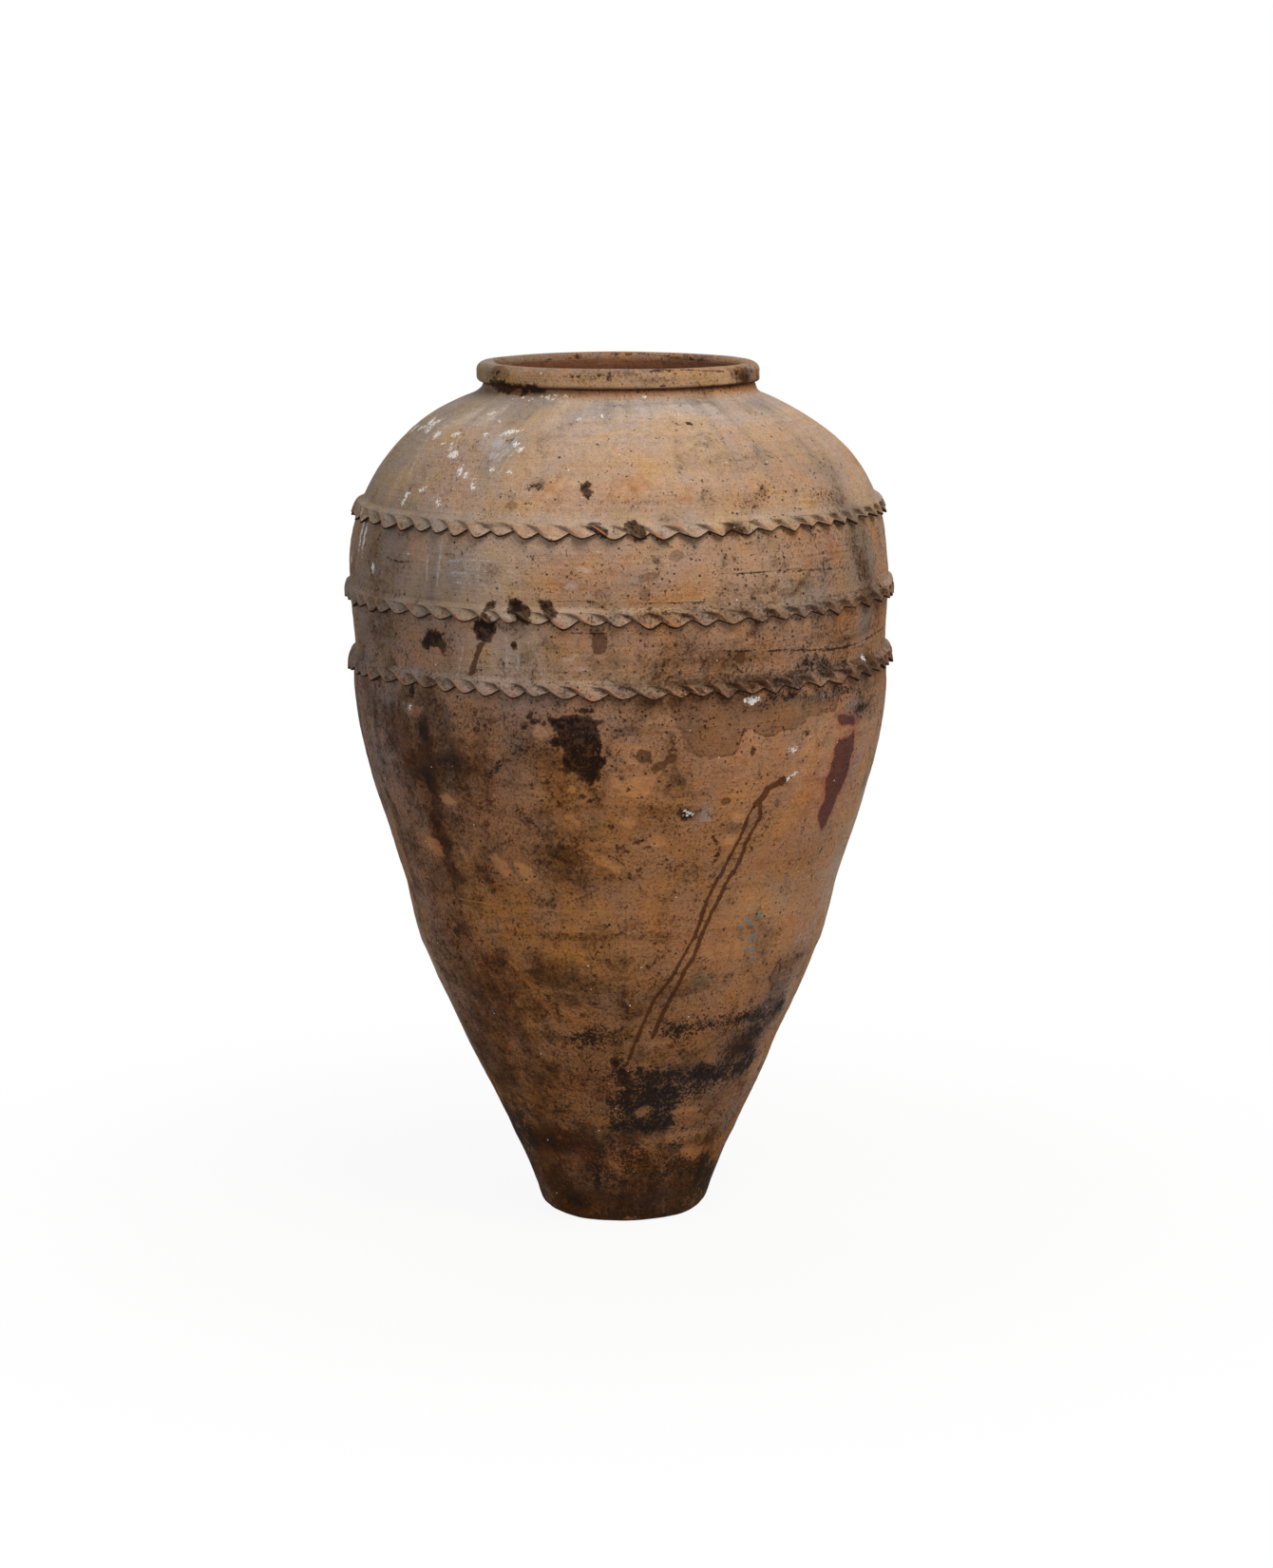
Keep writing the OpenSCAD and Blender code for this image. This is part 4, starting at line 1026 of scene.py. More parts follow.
        (850, 500, 40, 60, 0.25), (780, 520, 60, 20, 0.15), (540, 530, 40, 12, 0.25),
        (550, 610, 24, 30, 0.3), (660, 632, 100, 10, 0.3), (890, 600, 18, 40, 0.45), (730, 715, 70, 10, 0.2),
        (790, 1080, 40, 50, -0.5), (830, 1030, 30, 40, -0.45), (755, 1180, 30, 24, -0.45),
        (460, 985, 24, 40, -0.5), (910, 640, 24, 100, -0.35), (885, 850, 30, 60, -0.25),
        (690, 1258, 30, 12, -0.4), (790, 392, 16, 14, -0.8), (930, 560, 20, 60, -0.5),
        (935, 680, 20, 30, -0.5), (830, 715, 26, 14, -0.5), (880, 620, 24, 12, 0.5), (890, 692, 16, 14, 0.5),
        (665, 712, 36, 14, 0.45), (780, 660, 12, 14, 0.4), (785, 730, 16, 20, 0.35),
        (625, 830, 20, 40, 0.25), (500, 885, 40, 14, 0.25), (520, 960, 50, 40, 0.25),
        (560, 1000, 40, 30, 0.2), (590, 1035, 50, 16, 0.25), (550, 1130, 40, 40, 0.3),
        (575, 1200, 26, 14, 0.6), (590, 1258, 24, 12, 0.5), (742, 1240, 14, 20, 0.5),
        (700, 500, 40, 16, 0.25), (630, 615, 16, 26, 0.25), (600, 605, 40, 24, 0.3),
        (735, 770, 16, 14, 0.35), (808, 840, 14, 20, 0.35), (840, 990, 30, 26, -0.9),
        (780, 1105, 60, 70, -0.5), (760, 1175, 30, 30, -0.5), (665, 1219, 26, 8, -0.5),
        (690, 1256, 24, 9, -0.5), (525, 1145, 24, 36, 1.1), (638, 1182, 20, 18, 0.6),
        (576, 1200, 20, 12, 0.6), (600, 1270, 44, 10, 1.2), (745, 1238, 12, 22, 1.0),
        (602, 1215, 12, 9, -0.5), (575, 1225, 12, 14, 0.6), (685, 832, 34, 14, -0.4),
        (845, 822, 26, 26, -0.35), (540, 925, 28, 16, -0.5), (620, 972, 44, 14, -0.4),
        (640, 1085, 26, 14, -0.3), (690, 1022, 22, 10, -0.3), (630, 922, 22, 12, 0.4),
        (512, 690, 22, 16, 0.4), (560, 642, 12, 30, 0.4), (642, 690, 14, 18, 0.3), (690, 690, 26, 12, 0.3),
        (560, 590, 110, 40, -0.25), (680, 625, 40, 10, -0.3), (525, 400, 40, 16, 0.6),
        (515, 430, 50, 20, 0.4), (650, 424, 100, 12, 0.25), (830, 450, 50, 24, 0.25),
        (780, 395, 18, 10, -0.4), (730, 1050, 40, 20, -0.25), (850, 890, 40, 20, -0.3),
        (740, 870, 16, 16, -0.3), (535, 520, 60, 14, -0.2),
    ],
    "crust": [
        (668, 1218, 44, 26, 0.72), (720, 1224, 34, 20, 0.66), (752, 1150, 30, 24, 0.4),
        (600, 1203, 34, 16, 0.5), (690, 1155, 40, 34, 0.4), (652, 1130, 18, 24, 0.5),
        (755, 1178, 36, 26, 0.52), (605, 771, 24, 6, 0.55), (617, 795, 20, 20, 0.5),
        (770, 1045, 40, 30, 0.36), (640, 1195, 60, 14, 0.4), (600, 1240, 30, 24, 0.34),
    ],
    "rust": [
        (605, 490, 45, 40, 0.35), (830, 480, 44, 40, 0.3), (590, 600, 30, 26, 0.3), (625, 610, 30, 20, 0.2),
        (796, 516, 20, 8, 0.5), (650, 700, 80, 16, 0.3), (850, 830, 50, 40, 0.35), (880, 800, 60, 60, 0.3),
        (610, 408, 50, 6, 0.7), (700, 411, 50, 4, 0.4), (575, 1200, 26, 12, 0.5), (608, 1216, 22, 22, 0.4),
        (475, 680, 20, 22, 0.5), (550, 700, 30, 14, 0.4), (410, 745, 40, 26, 0.4), (430, 800, 40, 60, 0.4),
        (510, 810, 22, 36, 0.4), (590, 1205, 60, 18, 0.5), (668, 1220, 34, 22, 0.5),
        (605, 1225, 16, 22, 0.4), (740, 1212, 24, 12, 0.4), (520, 1040, 60, 60, 0.35),
        (630, 1130, 40, 20, 0.3), (895, 655, 26, 16, 0.4), (740, 640, 200, 6, 0.15),
        (650, 850, 120, 30, 0.15), (690, 970, 80, 30, 0.1),
    ],
    "pits": [
        (760, 590, 90, 40, 0.5), (830, 600, 60, 40, 0.35), (770, 675, 80, 30, 0.55), (860, 670, 60, 30, 0.4),
        (680, 755, 60, 16, 0.6), (760, 760, 60, 30, 0.4), (620, 870, 90, 60, 0.3), (740, 1085, 80, 14, 0.6),
        (640, 1130, 30, 16, 0.5), (760, 1050, 40, 30, 0.35), (770, 930, 20, 16, 0.4),
        (560, 900, 50, 40, 0.25), (820, 535, 60, 12, 0.4), (560, 530, 60, 16, 0.25),
    ],
}
HEIGHT = {
    # how much of each film lies at a height, before the clouds: pairs of height and amount
    "umber": [(0, 0.72), (50, 0.6), (95, 0.54), (150, 0.45), (260, 0.37), (330, 0.33), (390, 0.29),
              (480, 0.27), (600, 0.29), (655, 0.3), (670, 0.2), (735, 0.17), (750, 0.1), (830, 0.08),
              (850, -0.07), (940, -0.08), (963, -0.14), (970, 0.16), (976, 0.2), (981, 0.06), (990, 0.06),
              (1000, 0.22)],
    "ash": [(0, 0.3), (100, 0.08), (640, 0.1), (760, 0.1), (840, 0.06), (935, 0.06), (952, 0.3), (963, 0.34),
            (972, 0.14), (990, 0.1), (1000, 0.45)],
    "pale": [(0, 0), (560, 0), (655, 0.05), (670, 0.22), (735, 0.24), (750, 0.36), (830, 0.42), (850, 0.62),
             (930, 0.66), (952, 0.9), (963, 0.9), (970, 0.25), (976, 0.2), (982, 0.52), (992, 0.55),
             (1000, 0.35)],
    "flake": [(0, 0.05), (60, 0.1), (100, 0.1), (600, 0.1), (655, 0.05), (670, -0.3), (1000, -0.3)],
    "warm": [(0, 0.2), (60, 0.35), (100, 0.35), (180, 0.2), (260, 0.28), (400, 0.26), (560, 0.05),
             (640, -0.08), (670, 0.05), (735, 0.0), (750, 0.05), (830, 0.1), (850, 0.12), (940, 0.04),
             (955, -0.25), (963, -0.2), (970, 0.3), (990, 0.5), (1000, 0.1)],
    "crust": [(0, -0.2), (1000, -0.2)],
    "bloom": [(0, -0.3), (840, -0.3), (870, 0.0), (930, 0.0), (945, 0.25), (963, 0.3), (968, -0.2),
              (1000, -0.3)],
    "drip": [(0, 0.0), (100, 0.08), (640, 0.12), (670, 0.0), (1000, -0.2)],
    "rust": [(0, 0.1), (100, 0.25), (640, 0.1), (963, 0.0), (969, 0.36), (976, 0.42), (981, 0.05),
             (1000, 0.05)],
    "pits": [(0, 0.3), (640, 0.22), (680, 0.1), (840, 0.08), (860, 0.03), (1000, 0.05)],
}
LEFT = {
    # what the left side has more of, below the lower rope and above it; its extra grey, brown and cooler tint
    # also stand in for painted shade on this side
    "umber": (0.08, 0.02), "ash": (0.46, 0.52), "pale": (0.0, 0.05), "rust": (0.1, 0.0), "pits": (-0.1, -0.1),
    "drip": (0.34, 0.12), "warm": (-0.3, 0.05), "bloom": (0.0, 0.1),
}
GROOVES = [
    # dark grooves count 1 and pale scratches -1, with the pixels of the start, the middle and the end
    (1.0, "763,603 807,602 851,600"), (0.9, "582,634 660,635 742,634"), (0.8, "576,665 600,666 622,667"),
    (0.9, "776,684 840,683 905,676"), (0.8, "564,529 580,530 600,530"), (-1.0, "480,950 640,959 720,957"),
    (0.8, "430,685 480,690 520,692"), (0.7, "560,985 640,988 730,986"), (0.7, "520,928 580,931 640,931"),
]
print({name: len(clouds) for name, clouds in SOFT.items()})

# %% [markdown]
# ## Painting the marks
# The same fields go on lifts and ropes, so a run of tar crosses a rope without a break. The back, which the
# photograph doesn't show, gets marks of the same kinds in other places: every mark is laid a second time,
# mirrored and turned to the back by an angle of its kind, with its height kept because rain, hands and smoke
# reach the same heights there. Fine grooves from the potter's comb follow one row of vertices each, so that
# they stay thin.


# %% Paint the marks on the vertices
BACK = {"tar": 172, "soot": 232, "red": 290, "run": 158, "bare": 185, "lime": 218, "blue": 120, "wash": 205}
BACK_OTHERS, BACK_SHARE = 197, 0.8
DEEPEST = {"soot": 6.2, "tar": 3.4}
ON_RIGHT = {"umber": -0.16, "pale": 0.45}
PALE_AND_SHEEN_ON_LEFT_EDGE = {"umber": -0.1, "pale": 0.35}
ON_TURNED_ROPES = {"umber": 0.2, "pale": -0.15}
DUST_ON_FOLDS, PALE_OVER_ROPES, PALE_ON_UPPER_ROPE = 0.68, 0.25, 0.05
ROPE_FILM = {"ash": 0.2, "pale": 0.2}
UPPER_ROPE_Z, RIM_MIDDLE_Z = 800.0, 990.0
FADE_OF_GROOVE, SAME_ROW, NEAR_ROW = 1 / 30, 0.05, 3.0


def behind(a, name):
    """Azimuths of the front that a kind of mark is copied from, mirrored and turned to the back."""
    return (math.radians(BACK.get(name, BACK_OTHERS)) - a + np.pi) % (2 * np.pi) - np.pi


def hard_fields(a, up):
    """How deep every place lies in each kind of hard mark."""
    fields = {}
    for name, (shapes, spots, runs) in HARD.items():
        depth = np.full(len(a), OUTSIDE)
        for seen in (a, behind(a, name)):
            depth_in_shapes(seen, up, depth, shapes)
            depth_in_spots(seen, up, depth, spots)
            depth_in_runs(seen, up, depth, runs)
        fields[name] = np.minimum(depth, DEEPEST.get(name, np.inf))
    return fields


def soft_fields(a, z, up, is_rope):
    """The amount of each soft film at every place."""
    left, right = np.clip(-np.sin(a), 0, 1), np.clip(np.sin(a), 0, 1)
    # paler towards the right below the ropes; the left outline there and on the shoulder is paler too, pale
    # dust with a painted sheen
    paler_right = right**4 * rise(z, 650, 590)
    # pale dust and a painted sheen along the left outline
    left_edge = left**8 * (rise(z, 640, 580) + 1.5 * rise(z, 850, 880))
    turned = np.clip(1.3 * np.sin(a), 0, 1) * np.clip(2.2 * np.cos(a), 0, 1)
    fields = {}
    for name, clouds in SOFT.items():
        stops = np.array(HEIGHT[name])
        amount = np.interp(z, stops[:, 0], stops[:, 1])
        # the left side gets more film and a cooler tint, partly painted shade
        amount += left**1.6 * np.interp(z, [630, 680], LEFT.get(name, (0, 0)))
        amount += soft_amount(a, up, clouds) + BACK_SHARE * soft_amount(behind(a, name), up, clouds)
        if is_rope and z.max() < UPPER_ROPE_Z:
            amount += turned * ON_TURNED_ROPES.get(name, 0)
        if is_rope:
            upper_pale = (z > UPPER_ROPE_Z) & (name == "pale")
            amount += np.where(upper_pale, PALE_ON_UPPER_ROPE, ROPE_FILM.get(name, 0))
        amount += paler_right * ON_RIGHT.get(name, 0) + left_edge * PALE_AND_SHEEN_ON_LEFT_EDGE.get(name, 0)
        fields[name] = amount
    return fields


def groove_field(a, z, up, skin):
    """The painted shadow line under the rim and the potter's comb lines, each on the row of vertices nearest
    to it.
    """
    # painted shadow: the line under the rim is darkened like the dark grooves
    groove = bump(z, RIM_Z, 2.2) * skin
    for mark, text in GROOVES:
        (start, *rest), (middle, level), (end, *rest) = trace(text)
        row = np.argmin(np.abs(up - level))
        window = rise(a, start, start + FADE_OF_GROOVE) * rise(a, end, end - FADE_OF_GROOVE)
        if abs(up[row] - level) < NEAR_ROW:
            groove += np.where(np.abs(z - z[row]) < SAME_ROW, mark * window * skin, 0)
    return groove


def paint(mesh):
    """Writes every field that the finish reads."""
    a, r, z = cylinder_places(mesh)
    up = wall_run(z)
    is_rope = mesh.attributes.get("crest") is not None
    skin = np.ones(len(a), np.float32) if is_rope else values_of(mesh, "skin")
    fields = {name: np.where(skin > 0.5, depth, OUTSIDE) for name, depth in hard_fields(a, up).items()}
    for name, amount in soft_fields(a, z, up, is_rope).items():
        fields[name] = np.where(skin > 0.5, amount, 0.0)
    fields["bloom"] += DUST_ON_FOLDS * values_of(mesh, "cream")
    for rope_seam, pixel in ROPES.values():
        fields["pale"] += PALE_OVER_ROPES * bump(z, SEAM_Z[rope_seam] + 9, 7) * skin
    fields["groove"] = groove_field(a, z, up, skin)
    fields["inside"] = 1.0 - skin
    hollow = values_of(mesh, "hollow")
    # the folds of the upper rope hold less dirt and painted shade on their left than the others, and a
    # painted shadow lies in the line under the rim
    fold_dirt_and_shade = np.where(z > UPPER_ROPE_Z, 0.5 + 0.8 * np.clip(1.4 * np.sin(a), 0, 1), 1.25)
    fields["hollow"] = np.where(hollow > 0.95, hollow, hollow * fold_dirt_and_shade)
    fields["hollow"] += 1.3 * bump(z, RIM_Z - 0.6, 1.7) * skin
    if z.max() > RIM_MIDDLE_Z:
        fields["crest"] = 1.2 * bump(r, MOUTH_R + 2, 4) * bump(z, RIM_TOP - 2, 4) * np.clip(np.cos(a), 0, 1)
    for name, values in fields.items():
        store(mesh, name, values)
    drum = (drum_places(a, z, ROPE_DRUM) * MM).astype(np.float32)
    mesh.attributes.new("drum", "FLOAT_VECTOR", "POINT").data.foreach_set("vector", drum.ravel())


for mesh in [*walls.values(), *ropes.values()]:
    paint(mesh)
print("painted", len(walls) + len(ropes), "meshes")

# %% [markdown]
# ## Weathered terracotta
# Fired iron-rich clay is matte, peach to brick red and grainy. On this jar it shows in bare patches;
# elsewhere films lie over it. The material lays those films on the clay from the bottom up. Each one has a
# mask: its painted field plus noise of a real size, cut by a smooth step. The first cell makes the noises,
# spread to the whole range from 0 to 1, and then blends them, so that a blot has both a large shape and a
# grainy edge.

# %% Make the noises
NOISES = [
    # name, size in millimetres, detail and distortion
    ("cloud", 80, 4, 0.6), ("hue", 60, 3, 0.8), ("mottle", 26, 5, 0.6), ("fine", 8, 4, 0.4),
    ("grit", 3.2, 3, 0), ("dust", 2.0, 1, 0),
]
STREAKS = [
    # name, size round the jar and size up the jar, in millimetres
    ("wipe", 190, 3.2), ("smear", 90, 13), ("rain", 22, 220),
]
# slanting smears: their slope, and their size along and across it
DRAG = {"Rotation": (0, math.radians(40), 0), "Scale": (26 * MM, 26 * MM, 12 * MM)}
BLENDS = {
    # a blend's share of each noise
    "patchy": {"cloud": 0.36, "mottle": 0.32, "fine": 0.20, "grit": 0.12},
    "speckled": {"mottle": 0.26, "fine": 0.42, "grit": 0.32},
    "grainy": {"mottle": 0.15, "fine": 0.25, "grit": 0.35, "dust": 0.25},
    "streaky": {"cloud": 0.34, "rain": 0.34, "fine": 0.2, "grit": 0.12},
    "smeared": {"cloud": 0.22, "smear": 0.44, "fine": 0.2, "grit": 0.14},
    "dragged": {"drag": 0.6, "fine": 0.25, "grit": 0.15},
    "gritty": {"fine": 0.12, "grit": 0.50, "dust": 0.38},
    "dripping": {"rain": 0.5, "mottle": 0.28, "fine": 0.22},
    "wiped": {"cloud": 0.5, "mottle": 0.34, "wipe": 0.16},
}
SPREAD = {"From Min": 0.3, "From Max": 0.7}
BLEND_SPREAD = {"From Min": 0.2, "From Max": 0.8}

clay.use_nodes = True
tree = clay.node_tree
tree.nodes.clear()
place = add(tree, "ShaderNodeTexCoord").outputs["Object"]
drum = add(tree, "ShaderNodeAttribute", attribute_name="drum").outputs["Vector"]
field = {}
for name in [*HARD, *SOFT, "groove", "inside", "crest", "hollow"]:
    field[name] = add(tree, "ShaderNodeAttribute", attribute_name=name).outputs["Fac"]

raw = {}
for name, size_mm, detail, warp in NOISES:
    raw[name] = add(tree, "ShaderNodeTexNoise", {
        "Vector": place, "Scale": 1000 / size_mm, "Detail": detail, "Roughness": 0.62, "Distortion": warp})
rolled = {}
for name, round_mm, high_mm in STREAKS:
    across = (1000 / round_mm, 1000 / round_mm, 1000 / high_mm)
    rolled[name] = add(tree, "ShaderNodeMapping", {"Vector": drum, "Scale": across})
rolled["drag"] = add(tree, "ShaderNodeMapping", {"Vector": drum, **DRAG}, vector_type="TEXTURE")
for name, mapping in rolled.items():
    raw[name] = add(tree, "ShaderNodeTexNoise", {
        "Vector": mapping.outputs[0], "Scale": 1.0, "Detail": 4.0, "Roughness": 0.6})
noise = {}
for name, texture in raw.items():
    noise[name] = add(tree, "ShaderNodeMapRange", {"Value": texture.outputs[0], **SPREAD}).outputs[0]
for blend, shares in BLENDS.items():
    total = 0.0
    for name, share in shares.items():
        total = add(tree, "ShaderNodeMath", {0: noise[name], 1: share, 2: total},
                    operation="MULTIPLY_ADD").outputs[0]
    noise[blend] = add(tree, "ShaderNodeMapRange", {"Value": total, **BLEND_SPREAD}).outputs[0]
print("noises:", sorted(noise))

# %% [markdown]
# ## Laying the films
# Each row is one film: its field, the noise that breaks its edge and by how much, where the cover starts and
# is full, how much it hides and its colour. Soft fields count in shares and hard ones in millimetres. Tar,
# soot, the red stain and the crust are laid twice, as a wide stain and a dark core, and umber in several
# grains from fine to coarse. Where the clay is bare, umber, ash and soot are held back.

# %% Lay the films on the clay
coat = add(tree, "ShaderNodeMix", {0: noise["patchy"], 6: linear("#9E6D49"), 7: linear("#C2926C")},
           data_type="RGBA").outputs[2]
umber = add(tree, "ShaderNodeMix", {0: noise["mottle"], 6: linear("#432717"), 7: linear("#69482B")},
            data_type="RGBA").outputs[2]
ash = add(tree, "ShaderNodeMix", {0: noise["cloud"], 6: linear("#877C75"), 7: linear("#827362")},
          data_type="RGBA").outputs[2]
pale = add(tree, "ShaderNodeMix", {0: noise["cloud"], 6: linear("#AD9B8C"), 7: linear("#B49679")},
           data_type="RGBA").outputs[2]
cover = {}
SPARE_BARE, HELD_BACK = ("umber", "ash", "soot"), 0.9
FILMS = [
    # field, noise, raggedness, starts at, full at, opacity, colour
    ("bare", "speckled", 11.0, -1.0, 2.0, 0.8, linear("#B98458")),
    ("rust", "mottle", 0.8, 0.15, 0.9, 0.7, linear("#95502F")),
    ("pale", "wiped", 0.55, 0.0, 0.85, 0.9, pale),
    ("bloom", "wiped", 0.5, 0.0, 0.9, 0.7, linear("#CDBBA5")),
    ("ash", "streaky", 0.7, 0.1, 0.8, 0.8, ash),
    ("umber", "patchy", 1.0, 0.0, 0.95, 0.85, umber),
    ("umber", "smeared", 1.0, 0.25, 0.9, 0.5, linear("#432B16")),
    ("umber", "grainy", 1.3, 0.30, 0.62, 0.36, linear("#482A1A")),
    ("drip", "dripping", 1.0, 0.40, 0.85, 0.5, linear("#3A231A")),
    ("flake", "dragged", 1.0, 0.36, 0.52, 0.52, linear("#A8744B")),
    ("umber", "gritty", 1.1, 0.1, 0.7, 0.55, linear("#3A2213")),
    ("umber", "speckled", 1.4, 0.62, 0.92, 0.62, linear("#24130C")),
    ("chalk", "speckled", 4.0, -1.2, 1.0, 0.42, linear("#BDB2A8")),
    ("wash", "fine", 4.0, -0.8, 0.8, 0.42, linear("#4A2E1B")),
    ("tide", "fine", 2.0, -0.6, 0.6, 0.52, linear("#4E2D1A")),
    ("red", "mottle", 7.0, -11.0, 1.0, 0.42, linear("#9A5242")),
    ("red", "grainy", 5.0, -1.0, 1.0, 0.78, linear("#432426")),
    ("soot", "patchy", 26.0, -10.0, 12.0, 0.6, linear("#302723")),
    ("soot", "grainy", 34.0, -2.0, 7.0, 0.82, linear("#1A1716")),
    ("line", "speckled", 2.6, -0.8, 0.6, 0.82, linear("#26170E")),
    ("run", "fine", 2.6, -0.6, 0.5, 0.82, linear("#432212")),
    ("tar", "fine", 6.0, -2.0, 0.4, 0.85, linear("#382113")),
    ("tar", "speckled", 11.0, -1.0, 5.0, 0.95, linear("#1A0F0A")),
    ("crust", "speckled", 1.0, 0.50, 0.60, 0.68, linear("#8F5C3A")),
    ("crust", "grainy", 1.0, 0.42, 0.52, 0.85, linear("#1D130E")),
    ("lime", "gritty", 6.0, -0.7, 0.7, 0.9, linear("#DAD7D0")),
    # white grains and painted glints
    ("spark", "fine", 0.6, -0.4, 0.3, 0.9, linear("#E4E0D8")),
    ("blue", "speckled", 5.0, -0.4, 0.8, 0.7, linear("#57798A")),
]
for name, rough_edge, ragged, start, full, opacity, colour in FILMS:
    level = add(tree, "ShaderNodeMath", {0: noise[rough_edge], 1: ragged, 2: field[name]},
                operation="MULTIPLY_ADD").outputs[0]
    mask = add(tree, "ShaderNodeMapRange", {
        "Value": level, "From Min": start + ragged / 2, "From Max": full + ragged / 2, "To Max": opacity},
        interpolation_type="SMOOTHSTEP").outputs[0]
    if name in SPARE_BARE:
        spared = add(tree, "ShaderNodeMath", {0: cover["bare"], 1: -HELD_BACK, 2: 1.0},
                     operation="MULTIPLY_ADD").outputs[0]
        mask = add(tree, "ShaderNodeMath", {0: mask, 1: spared}, operation="MULTIPLY").outputs[0]
    cover.setdefault(name, mask)
    coat = add(tree, "ShaderNodeMix", {0: mask, 6: coat, 7: colour}, data_type="RGBA").outputs[2]
print("films:", len(FILMS))

# %% [markdown]
# ## Pits, sparkles and worn edges
# Burnt-out straw and popped grit leave dark pits a millimetre or two wide, and grains of quartz shine as
# white dots. Voronoi cells place both: a cell's own random colour decides whether it holds one, and how large
# it is. The crests of the ropes are rubbed back to orange clay and carry a faint painted highlight, their
# hollows hold dirt and painted shade, and a painted shadow darkens the gap under each lip and under the rim.

# %% Prick and wear the clay
PIT_MM = 4.6
GROOVE_FILMS = [
    # field starts at, full at, opacity and colour: dark grooves with the painted shadow under the rim, and
    # pale scratches
    (0.5, 0.9, 0.7, "#33231A"), (-0.5, -0.9, 0.4, "#C49A70"),
]
cells = add(tree, "ShaderNodeTexVoronoi", {"Vector": place, "Scale": 1000 / PIT_MM}).outputs
chance = add(tree, "ShaderNodeSeparateColor", {0: cells["Color"]}).outputs
reach = add(tree, "ShaderNodeMath", {0: chance["Blue"], 1: -0.24, 2: cells["Distance"]},
            operation="MULTIPLY_ADD").outputs[0]
dot = add(tree, "ShaderNodeMapRange", {"Value": reach, "From Min": 0.2, "From Max": 0.02}).outputs[0]
crowd = add(tree, "ShaderNodeMath", {0: field["pits"], 1: noise["mottle"]}, operation="MULTIPLY").outputs[0]
pit = add(tree, "ShaderNodeMath", {0: chance["Red"], 1: crowd}, operation="LESS_THAN").outputs[0]
pit = add(tree, "ShaderNodeMath", {0: dot, 1: pit}, operation="MULTIPLY").outputs[0]
pit_shade = add(tree, "ShaderNodeMath", {0: pit, 1: 0.8}, operation="MULTIPLY").outputs[0]
coat = add(tree, "ShaderNodeMix", {0: pit_shade, 6: coat, 7: linear("#24160E")}, data_type="RGBA").outputs[2]

for lowest, highest, opacity, colour in GROOVE_FILMS:
    mask = add(tree, "ShaderNodeMapRange", {
        "Value": field["groove"], "From Min": lowest, "From Max": highest, "To Max": opacity}).outputs[0]
    mask = add(tree, "ShaderNodeMath", {0: mask, 1: noise["mottle"]}, operation="MULTIPLY").outputs[0]
    coat = add(tree, "ShaderNodeMix", {0: mask, 6: coat, 7: linear(colour)}, data_type="RGBA").outputs[2]

worn = add(tree, "ShaderNodeMath", {0: field["crest"], 1: noise["mottle"]}, operation="MULTIPLY").outputs[0]
worn = add(tree, "ShaderNodeMapRange", {"Value": worn, "From Min": 0.36, "From Max": 0.62, "To Max": 0.85},
           interpolation_type="SMOOTHSTEP").outputs[0]
coat = add(tree, "ShaderNodeMix", {0: worn, 6: coat, 7: linear("#B66B40")}, data_type="RGBA").outputs[2]
lit_edge = add(tree, "ShaderNodeMath", {0: field["crest"], 1: 0.15}, operation="MULTIPLY").outputs[0]
coat = add(tree, "ShaderNodeMix", {0: lit_edge, 6: coat, 7: linear("#C2A284")}, data_type="RGBA").outputs[2]
# dirt and painted shade in the rope hollows
speckled_share = add(tree, "ShaderNodeMath", {0: noise["speckled"], 1: 0.6, 2: 0.35},
            operation="MULTIPLY_ADD").outputs[0]
grime_and_shade = add(tree, "ShaderNodeMath", {0: field["hollow"], 1: speckled_share}, operation="MULTIPLY",
            use_clamp=True).outputs[0]
coat = add(tree, "ShaderNodeMix", {0: grime_and_shade, 6: coat, 7: linear("#432A1E")}, data_type="RGBA").outputs[2]
# painted shadow: a dark line in the gap under each rope's lip and under the rim
gap_shadow_line = add(tree, "ShaderNodeMapRange", {
    "Value": field["hollow"], "From Min": 1.0, "From Max": 1.4, "To Max": 0.68}).outputs[0]
coat = add(tree, "ShaderNodeMix", {0: gap_shadow_line, 6: coat, 7: linear("#170E09")}, data_type="RGBA").outputs[2]

tiny = add(tree, "ShaderNodeMapRange",
           {"Value": cells["Distance"], "From Min": 0.24, "From Max": 0.12}).outputs[0]
sparkle = add(tree, "ShaderNodeMath", {0: chance["Green"], 1: 0.996}, operation="GREATER_THAN").outputs[0]
sparkle = add(tree, "ShaderNodeMath", {0: sparkle, 1: tiny}, operation="MULTIPLY").outputs[0]
coat = add(tree, "ShaderNodeMix", {0: sparkle, 6: coat, 7: linear("#E6E2DA")}, data_type="RGBA").outputs[2]

coarse = add(tree, "ShaderNodeMath", {0: cover["umber"], 1: 0.30, 2: 0.18},
             operation="MULTIPLY_ADD").outputs[0]
for name, strength in [("fine", coarse), ("grit", coarse), ("dust", coarse), ("wipe", 0.06)]:
    coat = add(tree, "ShaderNodeMix", {0: strength, 6: coat, 7: noise[name]}, data_type="RGBA",
               blend_type="OVERLAY").outputs[2]
warmth = add(tree, "ShaderNodeMath", {0: field["warm"], 1: 0.5, 2: 0.25}, operation="MULTIPLY_ADD").outputs[0]
warmth = add(tree, "ShaderNodeMath", {0: noise["hue"], 1: 0.5, 2: warmth}, operation="MULTIPLY_ADD",
             use_clamp=True).outputs[0]
tint = add(tree, "ShaderNodeMix", {0: warmth, 6: linear("#AFBDDC"), 7: linear("#CABD99")},
           data_type="RGBA").outputs[2]
